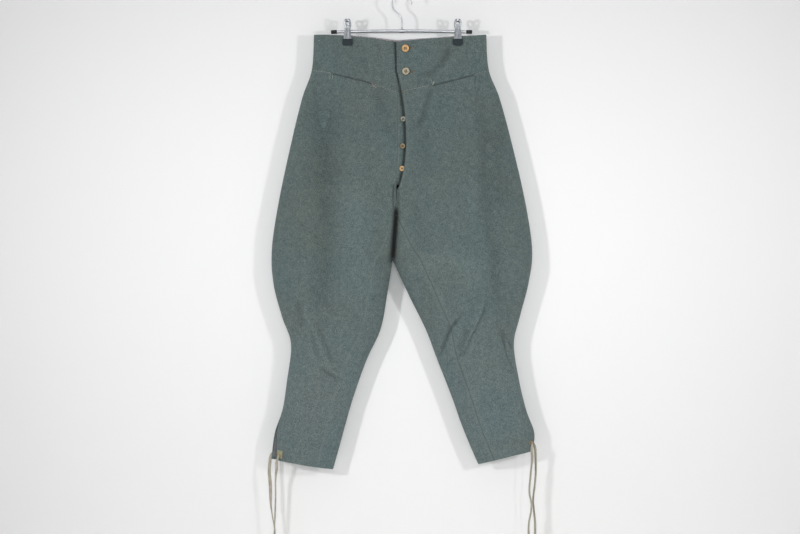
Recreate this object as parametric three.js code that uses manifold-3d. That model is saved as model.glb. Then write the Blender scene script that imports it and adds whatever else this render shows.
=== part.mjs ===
// High-waisted wool riding breeches, held at the waist by the two clips of a wire clip hanger.
//
// Millimetres, +Z up. The origin is the inside top of the hanger's hook, where a rail carries it.
// The front faces -Y. Left and right are the wearer's, so the left leg is on +X.
//
// The cloth hangs as a flattened tube that forks into two legs. Each half is described by slanted
// sections from the waistband's top edge to the hem. A place on the cloth is given by its section
// number, its share of the way from the section's inner end to the side seam, and its face.

import * as THREE from 'three';
import { mergeVertices } from 'three/addons/utils/BufferGeometryUtils.js';
import Module from 'manifold-3d';

const wasm = await Module();
wasm.setup();

// ---------- Driving dimensions ----------

const SEAM_GAP = 0.3; // between two pieces sewn together, and under what lies on a piece
const CLOTH = 2; // one layer of the wool
const BAND_CLOTH = 3; // the doubled wool of the waistband

// Sections of each half. out is the end at the side seam, in the end at the centre line or, below
// the fork, at the inside of the leg. rise lifts the back's inner end. front and back are how far
// the cloth bulges from the section's line, and bow curves that line upwards. inseam is how far the
// seam on the front of the leg lies from the inner end.
const LEFT_SECTIONS = [
  { outX: 198, outZ: -94, inX: -13, inZ: -113, rise: 7, front: 15, back: 9, bow: 1, inseam: 0 },
  { outX: 204, outZ: -177, inX: -11, inZ: -232, rise: 47, front: 22, back: 15, bow: -3, inseam: 0 },
  { outX: 230, outZ: -245, inX: -11, inZ: -300, rise: 34, front: 27, back: 21, bow: 0, inseam: 0 },
  { outX: 262, outZ: -365, inX: -11, inZ: -400, rise: 22, front: 35, back: 28, bow: 0, inseam: 0 },
  { outX: 291, outZ: -494, inX: -14, inZ: -518, rise: 9, front: 41, back: 34, bow: 0, inseam: 0 },
  { outX: 306, outZ: -602, inX: -22, inZ: -624, rise: 0, front: 43, back: 36, bow: 0, inseam: 64 },
  { outX: 297, outZ: -680, inX: 13, inZ: -700, rise: 0, front: 41, back: 34, bow: 0, inseam: 63 },
  { outX: 277, outZ: -757, inX: 55, inZ: -785, rise: 0, front: 35, back: 30, bow: 0, inseam: 57 },
  { outX: 263, outZ: -821, inX: 83, inZ: -858, rise: 0, front: 28, back: 25, bow: 0, inseam: 45 },
  { outX: 275, outZ: -905, inX: 117, inZ: -945, rise: 0, front: 24, back: 21, bow: 0, inseam: 41 },
  { outX: 292, outZ: -976, inX: 140, inZ: -1010, rise: 0, front: 21, back: 18, bow: 0, inseam: 39 },
  { outX: 311, outZ: -1030, inX: 161, inZ: -1062, rise: 0, front: 19, back: 16, bow: 0, inseam: 38 },
  { outX: 306, outZ: -1073, inX: 179, inZ: -1103, rise: 0, front: 17, back: 15, bow: 1, inseam: 38 },
];
const RIGHT_SECTIONS = [
  { outX: -207, outZ: -94, inX: -13, inZ: -113, rise: 7, front: 15, back: 9, bow: 4, inseam: 0 },
  { outX: -212, outZ: -177, inX: -11, inZ: -232, rise: 47, front: 22, back: 15, bow: 7, inseam: 0 },
  { outX: -235, outZ: -245, inX: -11, inZ: -300, rise: 34, front: 27, back: 21, bow: 0, inseam: 0 },
  { outX: -264, outZ: -365, inX: -11, inZ: -400, rise: 22, front: 35, back: 28, bow: 0, inseam: 0 },
  { outX: -291, outZ: -494, inX: -14, inZ: -518, rise: 9, front: 41, back: 34, bow: 0, inseam: 0 },
  { outX: -306, outZ: -600, inX: -22, inZ: -624, rise: 0, front: 43, back: 36, bow: 0, inseam: 42 },
  { outX: -302, outZ: -680, inX: -34, inZ: -700, rise: 0, front: 41, back: 34, bow: 0, inseam: 44 },
  { outX: -282, outZ: -757, inX: -50, inZ: -785, rise: 0, front: 35, back: 30, bow: 0, inseam: 44 },
  { outX: -261, outZ: -821, inX: -83, inZ: -858, rise: 0, front: 28, back: 25, bow: 0, inseam: 43 },
  { outX: -270, outZ: -905, inX: -114, inZ: -945, rise: 0, front: 24, back: 21, bow: 0, inseam: 42 },
  { outX: -281, outZ: -976, inX: -133, inZ: -1010, rise: 0, front: 21, back: 18, bow: 0, inseam: 40 },
  { outX: -299, outZ: -1030, inX: -147, inZ: -1062, rise: 0, front: 19, back: 16, bow: 0, inseam: 39 },
  { outX: -307, outZ: -1091, inX: -162, inZ: -1115, rise: 0, front: 17, back: 15, bow: -1, inseam: 38 },
];

// Numbers of the sections where the construction changes.
const WAIST_SEAM = 1; // waistband above, legs below
const CROSSING = 4; // where the front centre seam ends and both inseams start
const CROSSING_STEP = 0.05; // from there down to the back panel's first row on the front
const FORK = 5; // the lowest point between the legs
const MID_THIGH = 6; // hip pieces above, knee pieces below
const MID_SHIN = 9; // knee pieces above, shin pieces below
const VENT_TOP = 10.2; // below this the side seam is left open and laced
const HEM = 12;
const SEAM_STEP = 0.002; // half of the gap between two rows of pieces, in section numbers

// The section's outline is (1 - s^LENS_POWER)^LENS_EDGE, flat in the middle and round at the sides.
const LENS_POWER = 2.2;
const LENS_EDGE = 0.74;
const ARCH_REACH = 0.3; // the centre line's round arch fades out at this share of the section

// The left front laps over the right one. Its edge swings open below the waistband.
const FLY = { top: -205, bottom: -460, open: 20.5, lift: 3.6, curl: 4, flat: 44, fade: 90 };
const STAND = { width: 42, foot: 3.42 }; // the strip under the opening, and the section it ends at
const BAND_UNDERLAP = 36; // how far the right band runs on under the left one

// The side vent: the front's edge stands back from the back's edge.
const VENT_SETBACK = { right: 11, left: 2 };

// Slits of the two front pockets, in the waistband seam, and the strip of cloth behind each.
const POCKETS = [
  { name: 'right', from: 0.28, to: 0.76 },
  { name: 'left', from: 0.38, to: 0.84 },
];
const SLIT_DROP = 1.4; // how far the leg's edge hangs below the waistband in the slit
const FACING = { above: 0.82, below: 1.3, behind: 1.2, margin: 0.04 };

// The clips pinch front and back together. reach is the half-width of each dent.
const CLIPS = [
  { name: 'right', x: -128 },
  { name: 'left', x: 131 },
];
const PINCH = { half: 3.3, reach: 35, full: -122, gone: -215 };

// The largest soft folds, as lines in the front or back view. height is negative for a trough.
const FOLDS = [
  { face: 'front', fromX: -172, fromZ: -380, toX: -184, toZ: -770, reach: 32, height: -4 },
  { face: 'front', fromX: -204, fromZ: -800, toX: -160, toZ: -890, reach: 22, height: -4 },
  { face: 'front', fromX: 118, fromZ: -775, toX: 84, toZ: -850, reach: 22, height: -4 },
  { face: 'front', fromX: 190, fromZ: -735, toX: 152, toZ: -830, reach: 22, height: -5 },
  { face: 'front', fromX: 218, fromZ: -560, toX: 222, toZ: -760, reach: 30, height: -4 },
  { face: 'back', fromX: -150, fromZ: -470, toX: -190, toZ: -740, reach: 34, height: -4 },
  { face: 'back', fromX: 150, fromZ: -500, toX: 185, toZ: -760, reach: 32, height: -5 },
  { face: 'back', fromX: -225, fromZ: -800, toX: -140, toZ: -850, reach: 22, height: -4 },
  { face: 'back', fromX: 225, fromZ: -805, toX: 130, toZ: -840, reach: 22, height: -4 },
];

const WAIST_BUTTON = { diameter: 19, thickness: 2.6, holes: 2.1, pitch: 4.4 };
const FLY_BUTTON = { diameter: 13.5, thickness: 2.4, holes: 1.6, pitch: 3.2 };
// Section number and distance from the centre line of each button, from the top one down.
const BUTTONS = [
  { name: 'waist_button_upper', section: 0.215, off: 20.5, kind: WAIST_BUTTON },
  { name: 'waist_button_lower', section: 0.63, off: 20.5, kind: WAIST_BUTTON },
  { name: 'fly_button_upper', section: 1.975, off: 13.5, kind: FLY_BUTTON },
  { name: 'fly_button_middle', section: 2.63, off: 12, kind: FLY_BUTTON },
  { name: 'fly_button_lower', section: 3.11, off: 11, kind: FLY_BUTTON },
];

// Metal eyelets at the foot of each vent, by section number and distance from the side seam.
const EYELET = { bore: 2.3, barrel: 2.8, flange: 4.8, hole: 3.2 };
const EYELETS = [
  { name: 'eyelet_right_front', half: 'right', face: 'front', section: 11.72, off: 18 },
  { name: 'eyelet_right_back', half: 'right', face: 'back', section: 11.66, off: 8 },
  { name: 'eyelet_left_front', half: 'left', face: 'front', section: 11.42, off: 7.5 },
  { name: 'eyelet_left_back', half: 'left', face: 'back', section: 11.42, off: 7.5 },
];

// The laces are flat tapes. Each strand comes out of an eyelet and hangs free to its bare end.
const LACE = { radius: 1.8, steps: 32 };
const LACES = {
  lace_right_front: [
    [-286.2, -5.6, -1081.7], [-287.6, -10, -1081.6], [-288.9, -14, -1081.7], [-290.2, -15.4, -1085.5],
    [-292, -14, -1092], [-293.5, -11.5, -1100], [-294, -8, -1113], [-296, -4.5, -1127],
    [-297, -2, -1143], [-297, -1, -1163], [-297.2, 0, -1183], [-297.8, 1, -1205],
    [-298.5, 1.5, -1228], [-299.6, 1.5, -1248], [-300.3, 1.5, -1265], [-301, 1.5, -1283],
    [-300.4, 1.5, -1300], [-299, 1.5, -1316],
  ],
  lace_right_back: [
    [-296, 1.3, -1076.2], [-297.6, 5, -1076.2], [-299.4, 9, -1076.2], [-302.8, 10.8, -1076.8],
    [-307, 9.5, -1080], [-310, 7, -1088], [-311, 5.5, -1099], [-312.1, 4.8, -1112],
    [-312.2, 4.5, -1126], [-310.6, 4.5, -1143], [-309.6, 4.5, -1160], [-309.2, 4.8, -1181],
    [-308.4, 5.2, -1202], [-306, 5.8, -1219], [-303.6, 6.6, -1235], [-300.8, 7.5, -1250],
    [-299.8, 8, -1265], [-301.5, 8, -1285], [-303, 8, -1304], [-302, 8, -1325],
  ],
  lace_left_front: [
    [300.5, -2.1, -1052.3], [302.8, -6, -1052.6], [305, -9.9, -1053], [305.4, -11.8, -1057],
    [304.4, -11.8, -1065], [304.4, -10.2, -1074], [305.3, -8, -1084], [305.2, -5.5, -1094],
    [304.4, -4, -1106], [302.8, -3, -1122], [301.5, -2.5, -1138], [299.6, -2.5, -1156],
    [299.8, -3, -1174], [303.4, -3.5, -1190], [304.2, -3, -1203], [302.6, -2, -1219],
    [298.6, -1.5, -1239], [297.6, -1, -1262], [298.5, -1, -1282], [299.4, -1, -1302],
    [298.8, -1, -1316],
  ],
  lace_left_back: [
    [300.8, 1.3, -1052.3], [302.8, 5.2, -1052.6], [304.6, 8.9, -1052.9], [307.6, 10.6, -1054.2],
    [311.2, 9, -1058.5], [313.5, 6.5, -1067], [314.2, 5, -1080], [314.4, 4.5, -1095],
    [315, 4, -1110], [314.8, 4, -1125], [313.6, 4, -1143], [311.8, 4, -1160],
    [309.5, 4.5, -1177], [308.7, 5, -1191], [309.6, 4.5, -1204], [311.2, 4, -1219],
    [313.2, 3.5, -1240], [313.3, 3, -1263], [312.4, 3, -1284], [311.8, 3, -1305],
    [312.6, 3, -1322],
  ],
};

const ROD = { radius: 3.75, z: -85, fromX: -165, toX: 163 };
const HOOK = { wire: 1.75, radius: 22.8 };
const COLLAR = { length: 13, radius: 4.9 };
const CAP = { length: 14, radius: 4.6, wall: 2 };
const SPRING = { length: 9, radius: 5.1 };
const PAD = { width: 23, top: -104.5, bottom: -120, inner: 4.1, outer: 8.3, corner: 3 };
const PLATE = 1.2; // thickness of a clip's steel plate
// Side view and half-width of a clip plate, from its foot in the pad to the thumb loop.
const PLATE_PROFILE = [
  { z: -117, y: 5.3, half: 9 },
  { z: -104, y: 5.3, half: 9.2 },
  { z: -94, y: 5.5, half: 8.4 },
  { z: -85, y: 5.7, half: 7.2 },
  { z: -79, y: 5.9, half: 6.6 },
  { z: -73, y: 6.4, half: 7.6 },
  { z: -66, y: 7.2, half: 8.2 },
  { z: -61, y: 7.9, half: 7.2 },
  { z: -58, y: 8.3, half: 4.2 },
];

// ---------- Materials ----------

const wool = () => new THREE.MeshStandardMaterial({ color: 0x5f6d6a, roughness: 0.95 });
const horn = () => new THREE.MeshStandardMaterial({ color: 0xb28f6e, roughness: 0.4 });
const nut = () => new THREE.MeshStandardMaterial({ color: 0x968e78, roughness: 0.5 });
const tape = () => new THREE.MeshStandardMaterial({ color: 0xb3aba2, roughness: 0.9 });
const rubber = () => new THREE.MeshStandardMaterial({ color: 0x3c484b, roughness: 0.7 });
const brass = () => new THREE.MeshStandardMaterial({ color: 0xa08a5c, roughness: 0.45, metalness: 0.8 });
const chrome = () => new THREE.MeshStandardMaterial({ color: 0xc8cacc, roughness: 0.15, metalness: 1 });
const black = () => new THREE.MeshStandardMaterial({ color: 0x1c1d1e, roughness: 0.6 });

// ---------- Helpers ----------

const { lerp, smoothstep } = THREE.MathUtils;

const HALVES = {
  left: { side: 1, sections: LEFT_SECTIONS },
  right: { side: -1, sections: RIGHT_SECTIONS },
};

// A column of a table at a fractional row number, on a smooth curve through the rows.
function sample(table, column, row) {
  const last = table.length - 1;
  const i = Math.min(Math.max(Math.floor(row), 0), last - 1);
  const t = row - i;
  const value = (k) => table[Math.min(Math.max(k, 0), last)][column];
  const [a, b, c, d] = [value(i - 1), value(i), value(i + 1), value(i + 2)];
  return b + 0.5 * t * (c - a + t * (2 * a - 5 * b + 4 * c - d + t * (3 * (b - c) + d - a)));
}

// n + 1 numbers from a to b, closer together near both ends.
function spread(a, b, n) {
  return Array.from({ length: n + 1 }, (_, k) => lerp(a, b, (1 - Math.cos((Math.PI * k) / n)) / 2));
}

// n + 1 evenly spaced numbers from a to b.
function even(a, b, n) {
  return Array.from({ length: n + 1 }, (_, k) => lerp(a, b, k / n));
}

// Builds one closed wall from grids of point pairs: out on the outer skin, in on the inner one.
// Grids that share pairs are joined there, and every free border is closed from skin to skin.
function wall(grids) {
  const ids = new Map();
  const pairs = [];
  const idOf = (pair) => {
    const key = [...pair.out.toArray(), ...pair.in.toArray()].map((n) => Math.round(n * 1e3)).join();
    if (!ids.has(key)) ids.set(key, pairs.push(pair) - 1);
    return ids.get(key);
  };
  const skin = [];
  for (const { points, flip } of grids) {
    for (let i = 0; i + 1 < points.length; i += 1) {
      for (let j = 0; j + 1 < points[i].length; j += 1) {
        const [a, b] = [idOf(points[i][j]), idOf(points[i][j + 1])];
        const [c, d] = [idOf(points[i + 1][j + 1]), idOf(points[i + 1][j])];
        for (const face of [[a, b, c], [a, c, d]]) {
          if (new Set(face).size === 3) skin.push(flip ? face.reverse() : face);
        }
      }
    }
  }
  const edges = new Set(skin.flatMap(([a, b, c]) => [`${a},${b}`, `${b},${c}`, `${c},${a}`]));
  const inner = pairs.length;
  const index = [];
  for (const [a, b, c] of skin) {
    index.push(a, b, c, c + inner, b + inner, a + inner);
    for (const [p, q] of [[a, b], [b, c], [c, a]]) {
      if (!edges.has(`${q},${p}`)) index.push(q, p, p + inner, q, p + inner, q + inner);
    }
  }
  const geometry = new THREE.BufferGeometry();
  const points = [...pairs.map((pair) => pair.out), ...pairs.map((pair) => pair.in)];
  geometry.setFromPoints(points);
  geometry.setIndex(signedVolume(points, index) < 0 ? index.reverse() : index);
  geometry.computeVertexNormals();
  return geometry;
}

// Six times the volume inside a closed triangle list: negative where its faces point inwards.
function signedVolume(points, index) {
  let volume = 0;
  for (let i = 0; i < index.length; i += 3) {
    const [a, b, c] = [points[index[i]], points[index[i + 1]], points[index[i + 2]]];
    volume += a.dot(new THREE.Vector3().crossVectors(b, c));
  }
  return volume;
}

// A three.js geometry as a solid that can be cut.
function solidOf(source) {
  const geometry = source.clone();
  geometry.deleteAttribute('normal');
  if (geometry.getAttribute('uv')) geometry.deleteAttribute('uv');
  const merged = mergeVertices(geometry, 1e-4);
  const vertProperties = new Float32Array(merged.getAttribute('position').array);
  const triVerts = new Uint32Array(merged.index.array);
  return new wasm.Manifold(new wasm.Mesh({ numProp: 3, vertProperties, triVerts }));
}

// What is left of one geometry when others are cut away from it.
function cut(geometry, tools) {
  let solid = solidOf(geometry);
  for (const tool of tools) solid = solid.subtract(solidOf(tool));
  const mesh = solid.getMesh();
  const result = new THREE.BufferGeometry();
  result.setAttribute('position', new THREE.Float32BufferAttribute(mesh.vertProperties, 3));
  result.setIndex([...mesh.triVerts]);
  result.computeVertexNormals();
  return result;
}

// Turns a geometry's +Z to a direction and moves its origin to a place.
function placed(geometry, place, direction) {
  const turn = new THREE.Quaternion().setFromUnitVectors(new THREE.Vector3(0, 0, 1), direction);
  return geometry.applyQuaternion(turn).translate(place.x, place.y, place.z);
}

// A lathed ring or cup along X. points are (radius, distance along X).
function turned(points, sides) {
  const profile = points.map(([radius, along]) => new THREE.Vector2(radius, along));
  return new THREE.LatheGeometry(profile, sides).rotateZ(-Math.PI / 2);
}

// ---------- The cloth's surface ----------

const lens = (s) => Math.max(1 - Math.abs(s) ** LENS_POWER, 0) ** LENS_EDGE;

// A column of a section's inner end, which turns a corner at the fork: both halves share the
// centre line above it, and part below it.
function innerEnd(half, section, column) {
  const { sections } = HALVES[half];
  return section < FORK
    ? sample(sections.slice(0, FORK + 1), column, section)
    : sample(sections.slice(FORK), column, section - FORK);
}

// Length of a section's line, from its inner end to the side seam.
function sectionWidth(half, section) {
  return Math.abs(sample(HALVES[half].sections, 'outX', section) - innerEnd(half, section, 'inX'));
}

function foldHeight(face, x, z) {
  let height = 0;
  for (const fold of FOLDS.filter((one) => one.face === face)) {
    const [runX, runZ] = [fold.toX - fold.fromX, fold.toZ - fold.fromZ];
    const along = ((x - fold.fromX) * runX + (z - fold.fromZ) * runZ) / (runX ** 2 + runZ ** 2);
    const t = Math.min(Math.max(along, 0), 1);
    const away = Math.hypot(x - fold.fromX - t * runX, z - fold.fromZ - t * runZ);
    height += fold.height * Math.exp(-((away / fold.reach) ** 2));
  }
  return height;
}

// How open the tube is near the centre: 1 at the waist and 0 from the fork down, where each leg is
// a lens of its own. The centre line itself closes late, in a round arch, and the rest steadily.
function opening(section, share) {
  const arch = centreOpen(section);
  const steady = 1 - smoothstep(section, WAIST_SEAM, FORK);
  return lerp(arch, steady, smoothstep(share, 0, ARCH_REACH));
}

function centreOpen(section) {
  const t = (section - WAIST_SEAM) / (FORK - WAIST_SEAM);
  return Math.sqrt(1 - Math.min(Math.max(t, 0), 1) ** 3);
}

// How far the lapped left front stands out over the piece below it. Its loose edge curls forward.
function lapLift(off, z) {
  const lap = (1 - smoothstep(off, FLY.flat, FLY.fade)) * smoothstep(z, FLY.bottom - 45, FLY.bottom);
  const curl = (1 - smoothstep(off, 0, FLY.flat)) * (flyOpen(z) / FLY.open);
  return FLY.lift * lap + FLY.curl * curl;
}

// A point of the cloth, inset from its outer skin. seam is the half gap kept at the centre seam.
function cloth(half, section, share, face, { inset = 0, seam = 0, lapped = false } = {}) {
  const { side, sections } = HALVES[half];
  const at = (column) => sample(sections, column, section);
  const gap = section < FORK ? seam : 0;
  const turnIn = inset * Math.sqrt(1 - centreOpen(section) ** 2);
  const inX = innerEnd(half, section, 'inX') + side * (gap + turnIn);
  const outX = at('outX') - side * inset;
  const x = lerp(inX, outX, share);
  const rise = face === 'back' ? innerEnd(half, section, 'rise') : 0;
  const inZ = innerEnd(half, section, 'inZ') + rise;
  const z = lerp(inZ, at('outZ'), share) + at('bow') * Math.sin(Math.PI * share);
  const outline = lerp(lens(2 * share - 1), lens(share), opening(section, share));
  let depth = (at(face) - inset) * outline;
  for (const clip of CLIPS) {
    const pinch = Math.exp(-(((x - clip.x) / PINCH.reach) ** 4)) * smoothstep(z, PINCH.gone, PINCH.full);
    depth = lerp(depth, PINCH.half - inset, pinch);
  }
  depth += (foldHeight(face, x, z) * outline) + (share * SEAM_GAP) / 2;
  if (lapped) depth += lapLift(x - innerEnd(half, section, 'inX'), z);
  return new THREE.Vector3(x, face === 'front' ? -depth : depth, z);
}

// A grid of cloth between two insets, for a list of sections and a function giving their shares.
function patch(half, sections, shares, face, { outer = 0, inner = CLOTH, ...options } = {}) {
  const rows = sections.map((section) =>
    shares(section).map((share) => ({
      out: cloth(half, section, share, face, { ...options, inset: outer }),
      in: cloth(half, section, share, face, { ...options, inset: inner }),
    })),
  );
  return { points: rows, flip: (face === 'back') !== (half === 'right') };
}

// The outward direction of the cloth at a place.
function outward(half, section, share, face, options) {
  const here = cloth(half, section, share, face, options);
  const down = cloth(half, section + 0.02, share, face, options).sub(here);
  const along = cloth(half, section, share + 0.01, face, options).sub(here);
  const normal = new THREE.Vector3().crossVectors(down, along).normalize();
  const wanted = face === 'front' ? -1 : 1;
  return Math.sign(normal.y) === wanted ? normal : normal.negate();
}

// ---------- Seam lines ----------

// Distance of the left front's edge from the centre line at a height.
function flyOpen(z) {
  const t = (z - FLY.bottom) / (FLY.top - FLY.bottom);
  return t <= 0 || t >= 1 ? 0 : FLY.open * Math.sin(Math.PI * t ** 0.8) ** 0.8;
}

// Distance of the inseam from the inner edge, along a section. It starts at the crossing.
function inseamOff(half, section) {
  const below = innerEnd(half, Math.max(section, FORK), 'inseam');
  return below * Math.min(Math.max((section - CROSSING) / (FORK - CROSSING), 0), 1);
}

// Distance of the front's outer edge from the side seam: nothing above the vent.
function ventOff(half, section) {
  return VENT_SETBACK[half] * smoothstep(section, VENT_TOP, HEM);
}

// ---------- Cloth pieces ----------

// Each panel is made in three pieces, one below another, so that each one bends little.
const HIP_ROWS = [
  ...even(WAIST_SEAM + SEAM_STEP, CROSSING, 6),
  ...even(CROSSING + CROSSING_STEP, FORK, 3),
  ...even(FORK + 0.3, MID_THIGH - SEAM_STEP, 2),
];
const KNEE_ROWS = even(MID_THIGH + SEAM_STEP, MID_SHIN - SEAM_STEP, 6);
const SHIN_ROWS = even(MID_SHIN + SEAM_STEP, HEM, 6);
const BAND_ROWS = even(0, WAIST_SEAM - SEAM_STEP, 4);
const FRONT_COLUMNS = 12;
const WRAP_COLUMNS = 4;
const BAND_COLUMNS = 14;

// The front panel of one half, from the centre line or the inseam to the side seam.
function frontPanel(half, rows) {
  const shares = (section) => {
    const width = sectionWidth(half, section);
    const open = half === 'left' ? flyOpen(innerEnd(half, section, 'inZ')) : 0;
    const shift = section > CROSSING ? SEAM_GAP / 2 : 0;
    const from = (inseamOff(half, section) + open + shift) / width;
    return spread(from, 1 - ventOff(half, section) / width, FRONT_COLUMNS);
  };
  const options = { seam: SEAM_GAP / 2, lapped: half === 'left' };
  const grid = patch(half, rows, shares, 'front', options);
  if (rows === HIP_ROWS) openSlit(half, grid.points[0]);
  return wall([grid]);
}

// Lowers the part of a front panel's top edge that hangs free under the pocket slit.
function openSlit(half, edge) {
  const pocket = POCKETS.find((one) => one.name === half);
  for (const pair of edge) {
    const share = Math.abs(pair.out.x - edge[0].out.x) / sectionWidth(half, WAIST_SEAM);
    const inSlit = share > pocket.from && share < pocket.to;
    for (const point of inSlit ? [pair.out, pair.in] : []) point.z -= SLIT_DROP;
  }
}

// The back panel of one half. Below the crossing it wraps round the inside of the leg to the inseam.
function backPanel(half, rows) {
  const back = patch(half, rows, () => spread(0, 1, FRONT_COLUMNS), 'back', { seam: SEAM_GAP / 2 });
  const wrapped = rows.filter((row) => row > CROSSING);
  const shares = (section) => {
    const width = sectionWidth(half, section);
    return even(0, (inseamOff(half, section) - SEAM_GAP / 2) / width, WRAP_COLUMNS);
  };
  const wrap = patch(half, wrapped, shares, 'front', { seam: SEAM_GAP / 2 });
  return wall([back, wrap]);
}

// The left band laps over the right one, which runs on underneath.
function bandFront(half) {
  const shares = () => spread(0, 1, BAND_COLUMNS);
  const options = { inner: BAND_CLOTH, lapped: half === 'left' };
  const grids = [patch(half, BAND_ROWS, shares, 'front', options)];
  if (half === 'right') {
    const under = (section) => even(0, BAND_UNDERLAP / sectionWidth('left', section), 3);
    grids.push(patch('left', BAND_ROWS, under, 'front', { inner: BAND_CLOTH }));
  }
  return wall(grids);
}

function bandBack() {
  const shares = () => spread(0, 1, BAND_COLUMNS);
  const sides = Object.keys(HALVES);
  return wall(sides.map((half) => patch(half, BAND_ROWS, shares, 'back', { inner: BAND_CLOTH })));
}

// The strip that carries the fly buttons, sewn to the right front and lying under the left one.
function buttonStand() {
  const rows = even(WAIST_SEAM + SEAM_STEP, STAND.foot, 5);
  const shares = (section) => even(0, STAND.width / sectionWidth('left', section), 3);
  return wall([patch('left', rows, shares, 'front', { seam: SEAM_GAP / 2 })]);
}

// The cloth that shows in a pocket slit, behind the band and the leg.
function pocketFacing({ name, from, to }) {
  const outer = BAND_CLOTH + FACING.behind;
  const rows = even(FACING.above, FACING.below, 3);
  const shares = () => even(from - FACING.margin, to + FACING.margin, 5);
  return wall([patch(name, rows, shares, 'front', { outer, inner: outer + CLOTH })]);
}

// ---------- Buttons, eyelets and laces ----------

function buttonDisc({ diameter, thickness, holes, pitch }) {
  const disc = new THREE.Shape().absarc(0, 0, diameter / 2, 0, 2 * Math.PI);
  for (const x of [-pitch / 2, pitch / 2]) {
    for (const y of [-pitch / 2, pitch / 2]) {
      disc.holes.push(new THREE.Path().absarc(x, y, holes / 2, 0, 2 * Math.PI, true));
    }
  }
  return new THREE.ExtrudeGeometry(disc, { depth: thickness, bevelEnabled: false, curveSegments: 8 });
}

// A waist button lies on the lapped band. A fly button lies on the stand under the lap.
function button({ section, off, kind }) {
  const options = { lapped: kind === WAIST_BUTTON };
  const share = off / sectionWidth('left', section);
  const direction = outward('left', section, share, 'front', options);
  const place = cloth('left', section, share, 'front', options).addScaledVector(direction, SEAM_GAP);
  return placed(buttonDisc(kind), place, direction);
}

function eyeletSeat({ half, face, section, off }) {
  const share = 1 - off / sectionWidth(half, section);
  const options = { lapped: half === 'left', seam: SEAM_GAP / 2 };
  return {
    place: cloth(half, section, share, face, options),
    direction: outward(half, section, share, face, options),
  };
}

// A rolled eyelet whose barrel goes through the cloth, with a flange on each side.
function eyelet(one) {
  const { bore, barrel, flange } = EYELET;
  const inside = -CLOTH - SEAM_GAP;
  const profile = [
    [bore, inside - 0.6], [flange - 0.3, inside - 0.6], [flange - 0.3, inside], [barrel, inside],
    [barrel, SEAM_GAP], [flange, SEAM_GAP], [flange - 0.3, SEAM_GAP + 0.6],
    [bore + 0.7, SEAM_GAP + 0.9], [bore, SEAM_GAP + 0.5], [bore, inside - 0.6],
  ].map(([radius, height]) => new THREE.Vector2(radius, height));
  const ring = new THREE.LatheGeometry(profile, 16).rotateX(Math.PI / 2);
  const { place, direction } = eyeletSeat(one);
  return placed(ring, place, direction);
}

// The round hole that an eyelet's barrel goes through.
function eyeletHole(one) {
  const { place, direction } = eyeletSeat(one);
  const drill = new THREE.CylinderGeometry(EYELET.hole, EYELET.hole, 4 * CLOTH, 12).rotateX(Math.PI / 2);
  return placed(drill, place, direction);
}

// The plain body of a lace strand, along its route.
function lace(route) {
  const path = new THREE.CatmullRomCurve3(route.map((point) => new THREE.Vector3(...point)));
  const section = new THREE.Shape().absarc(0, 0, LACE.radius, 0, 2 * Math.PI);
  return new THREE.ExtrudeGeometry(section, { extrudePath: path, steps: LACE.steps, curveSegments: 4 });
}

// ---------- Hanger ----------

// The hook's wire: from its tip at the right, over the top and back in to the stem.
function hook() {
  const centreZ = HOOK.wire - HOOK.radius;
  const arc = even(-0.1, Math.PI + 0.1, 11).map(
    (turn) => new THREE.Vector3(HOOK.radius * Math.cos(turn), 0, centreZ + HOOK.radius * Math.sin(turn)),
  );
  const stem = [[-20.4, -33], [-15.5, -38.6], [-9, -44], [-3.6, -50.3], [-0.8, -57.5], [0, -66]]
    .map(([x, z]) => new THREE.Vector3(x, 0, z));
  const foot = new THREE.Vector3(0, 0, ROD.z + COLLAR.radius + SEAM_GAP);
  const path = new THREE.CatmullRomCurve3([...arc, ...stem, foot], false, 'centripetal');
  const section = new THREE.Shape().absarc(0, 0, HOOK.wire, 0, 2 * Math.PI);
  return new THREE.ExtrudeGeometry(section, { extrudePath: path, steps: 52, curveSegments: 4 });
}

function rod() {
  const { radius, fromX, toX, z } = ROD;
  return turned([[0, fromX], [radius, fromX], [radius, toX], [0, toX]], 20).translate(0, 0, z);
}

// A plain ring that fits round the rod with a gap.
function sleeve(x, { length, radius }) {
  const bore = ROD.radius + SEAM_GAP;
  const half = length / 2;
  const ring = [[bore, -half], [radius, -half], [radius, half], [bore, half], [bore, -half]];
  return turned(ring, 20).translate(x, 0, ROD.z);
}

// A soft cap over one end of the rod. side is 1 at the +X end.
function endCap(side) {
  const bore = ROD.radius + SEAM_GAP;
  const end = side > 0 ? ROD.toX : ROD.fromX;
  const { length, radius, wall: tip } = CAP;
  const cup = [
    [0, SEAM_GAP], [bore, SEAM_GAP], [bore, tip - length], [radius, tip - length],
    [radius, tip - 1.2], [radius - 1.2, tip], [0, tip],
  ];
  const geometry = turned(cup, 20);
  return (side > 0 ? geometry : geometry.rotateZ(Math.PI)).translate(end, 0, ROD.z);
}

// One plate of a clip: two long ribs with a groove between them, and a loop for the thumb.
function clipPlate(x, side) {
  const rows = PLATE_PROFILE.map(({ z, y, half }) =>
    even(-1, 1, 8).map((across) => {
      const rib = 0.8 * Math.sin(Math.PI * across) ** 2;
      const point = (away) => new THREE.Vector3(x + across * half, side * (y + away), z);
      return { out: point(PLATE + rib), in: point(rib) };
    }),
  );
  const loop = new THREE.CylinderGeometry(3.4, 3.4, 12, 16).scale(1.15, 1, 1);
  return cut(wall([{ points: rows, flip: false }]), [loop.translate(x, side * 7, -66.5)]);
}

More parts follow.
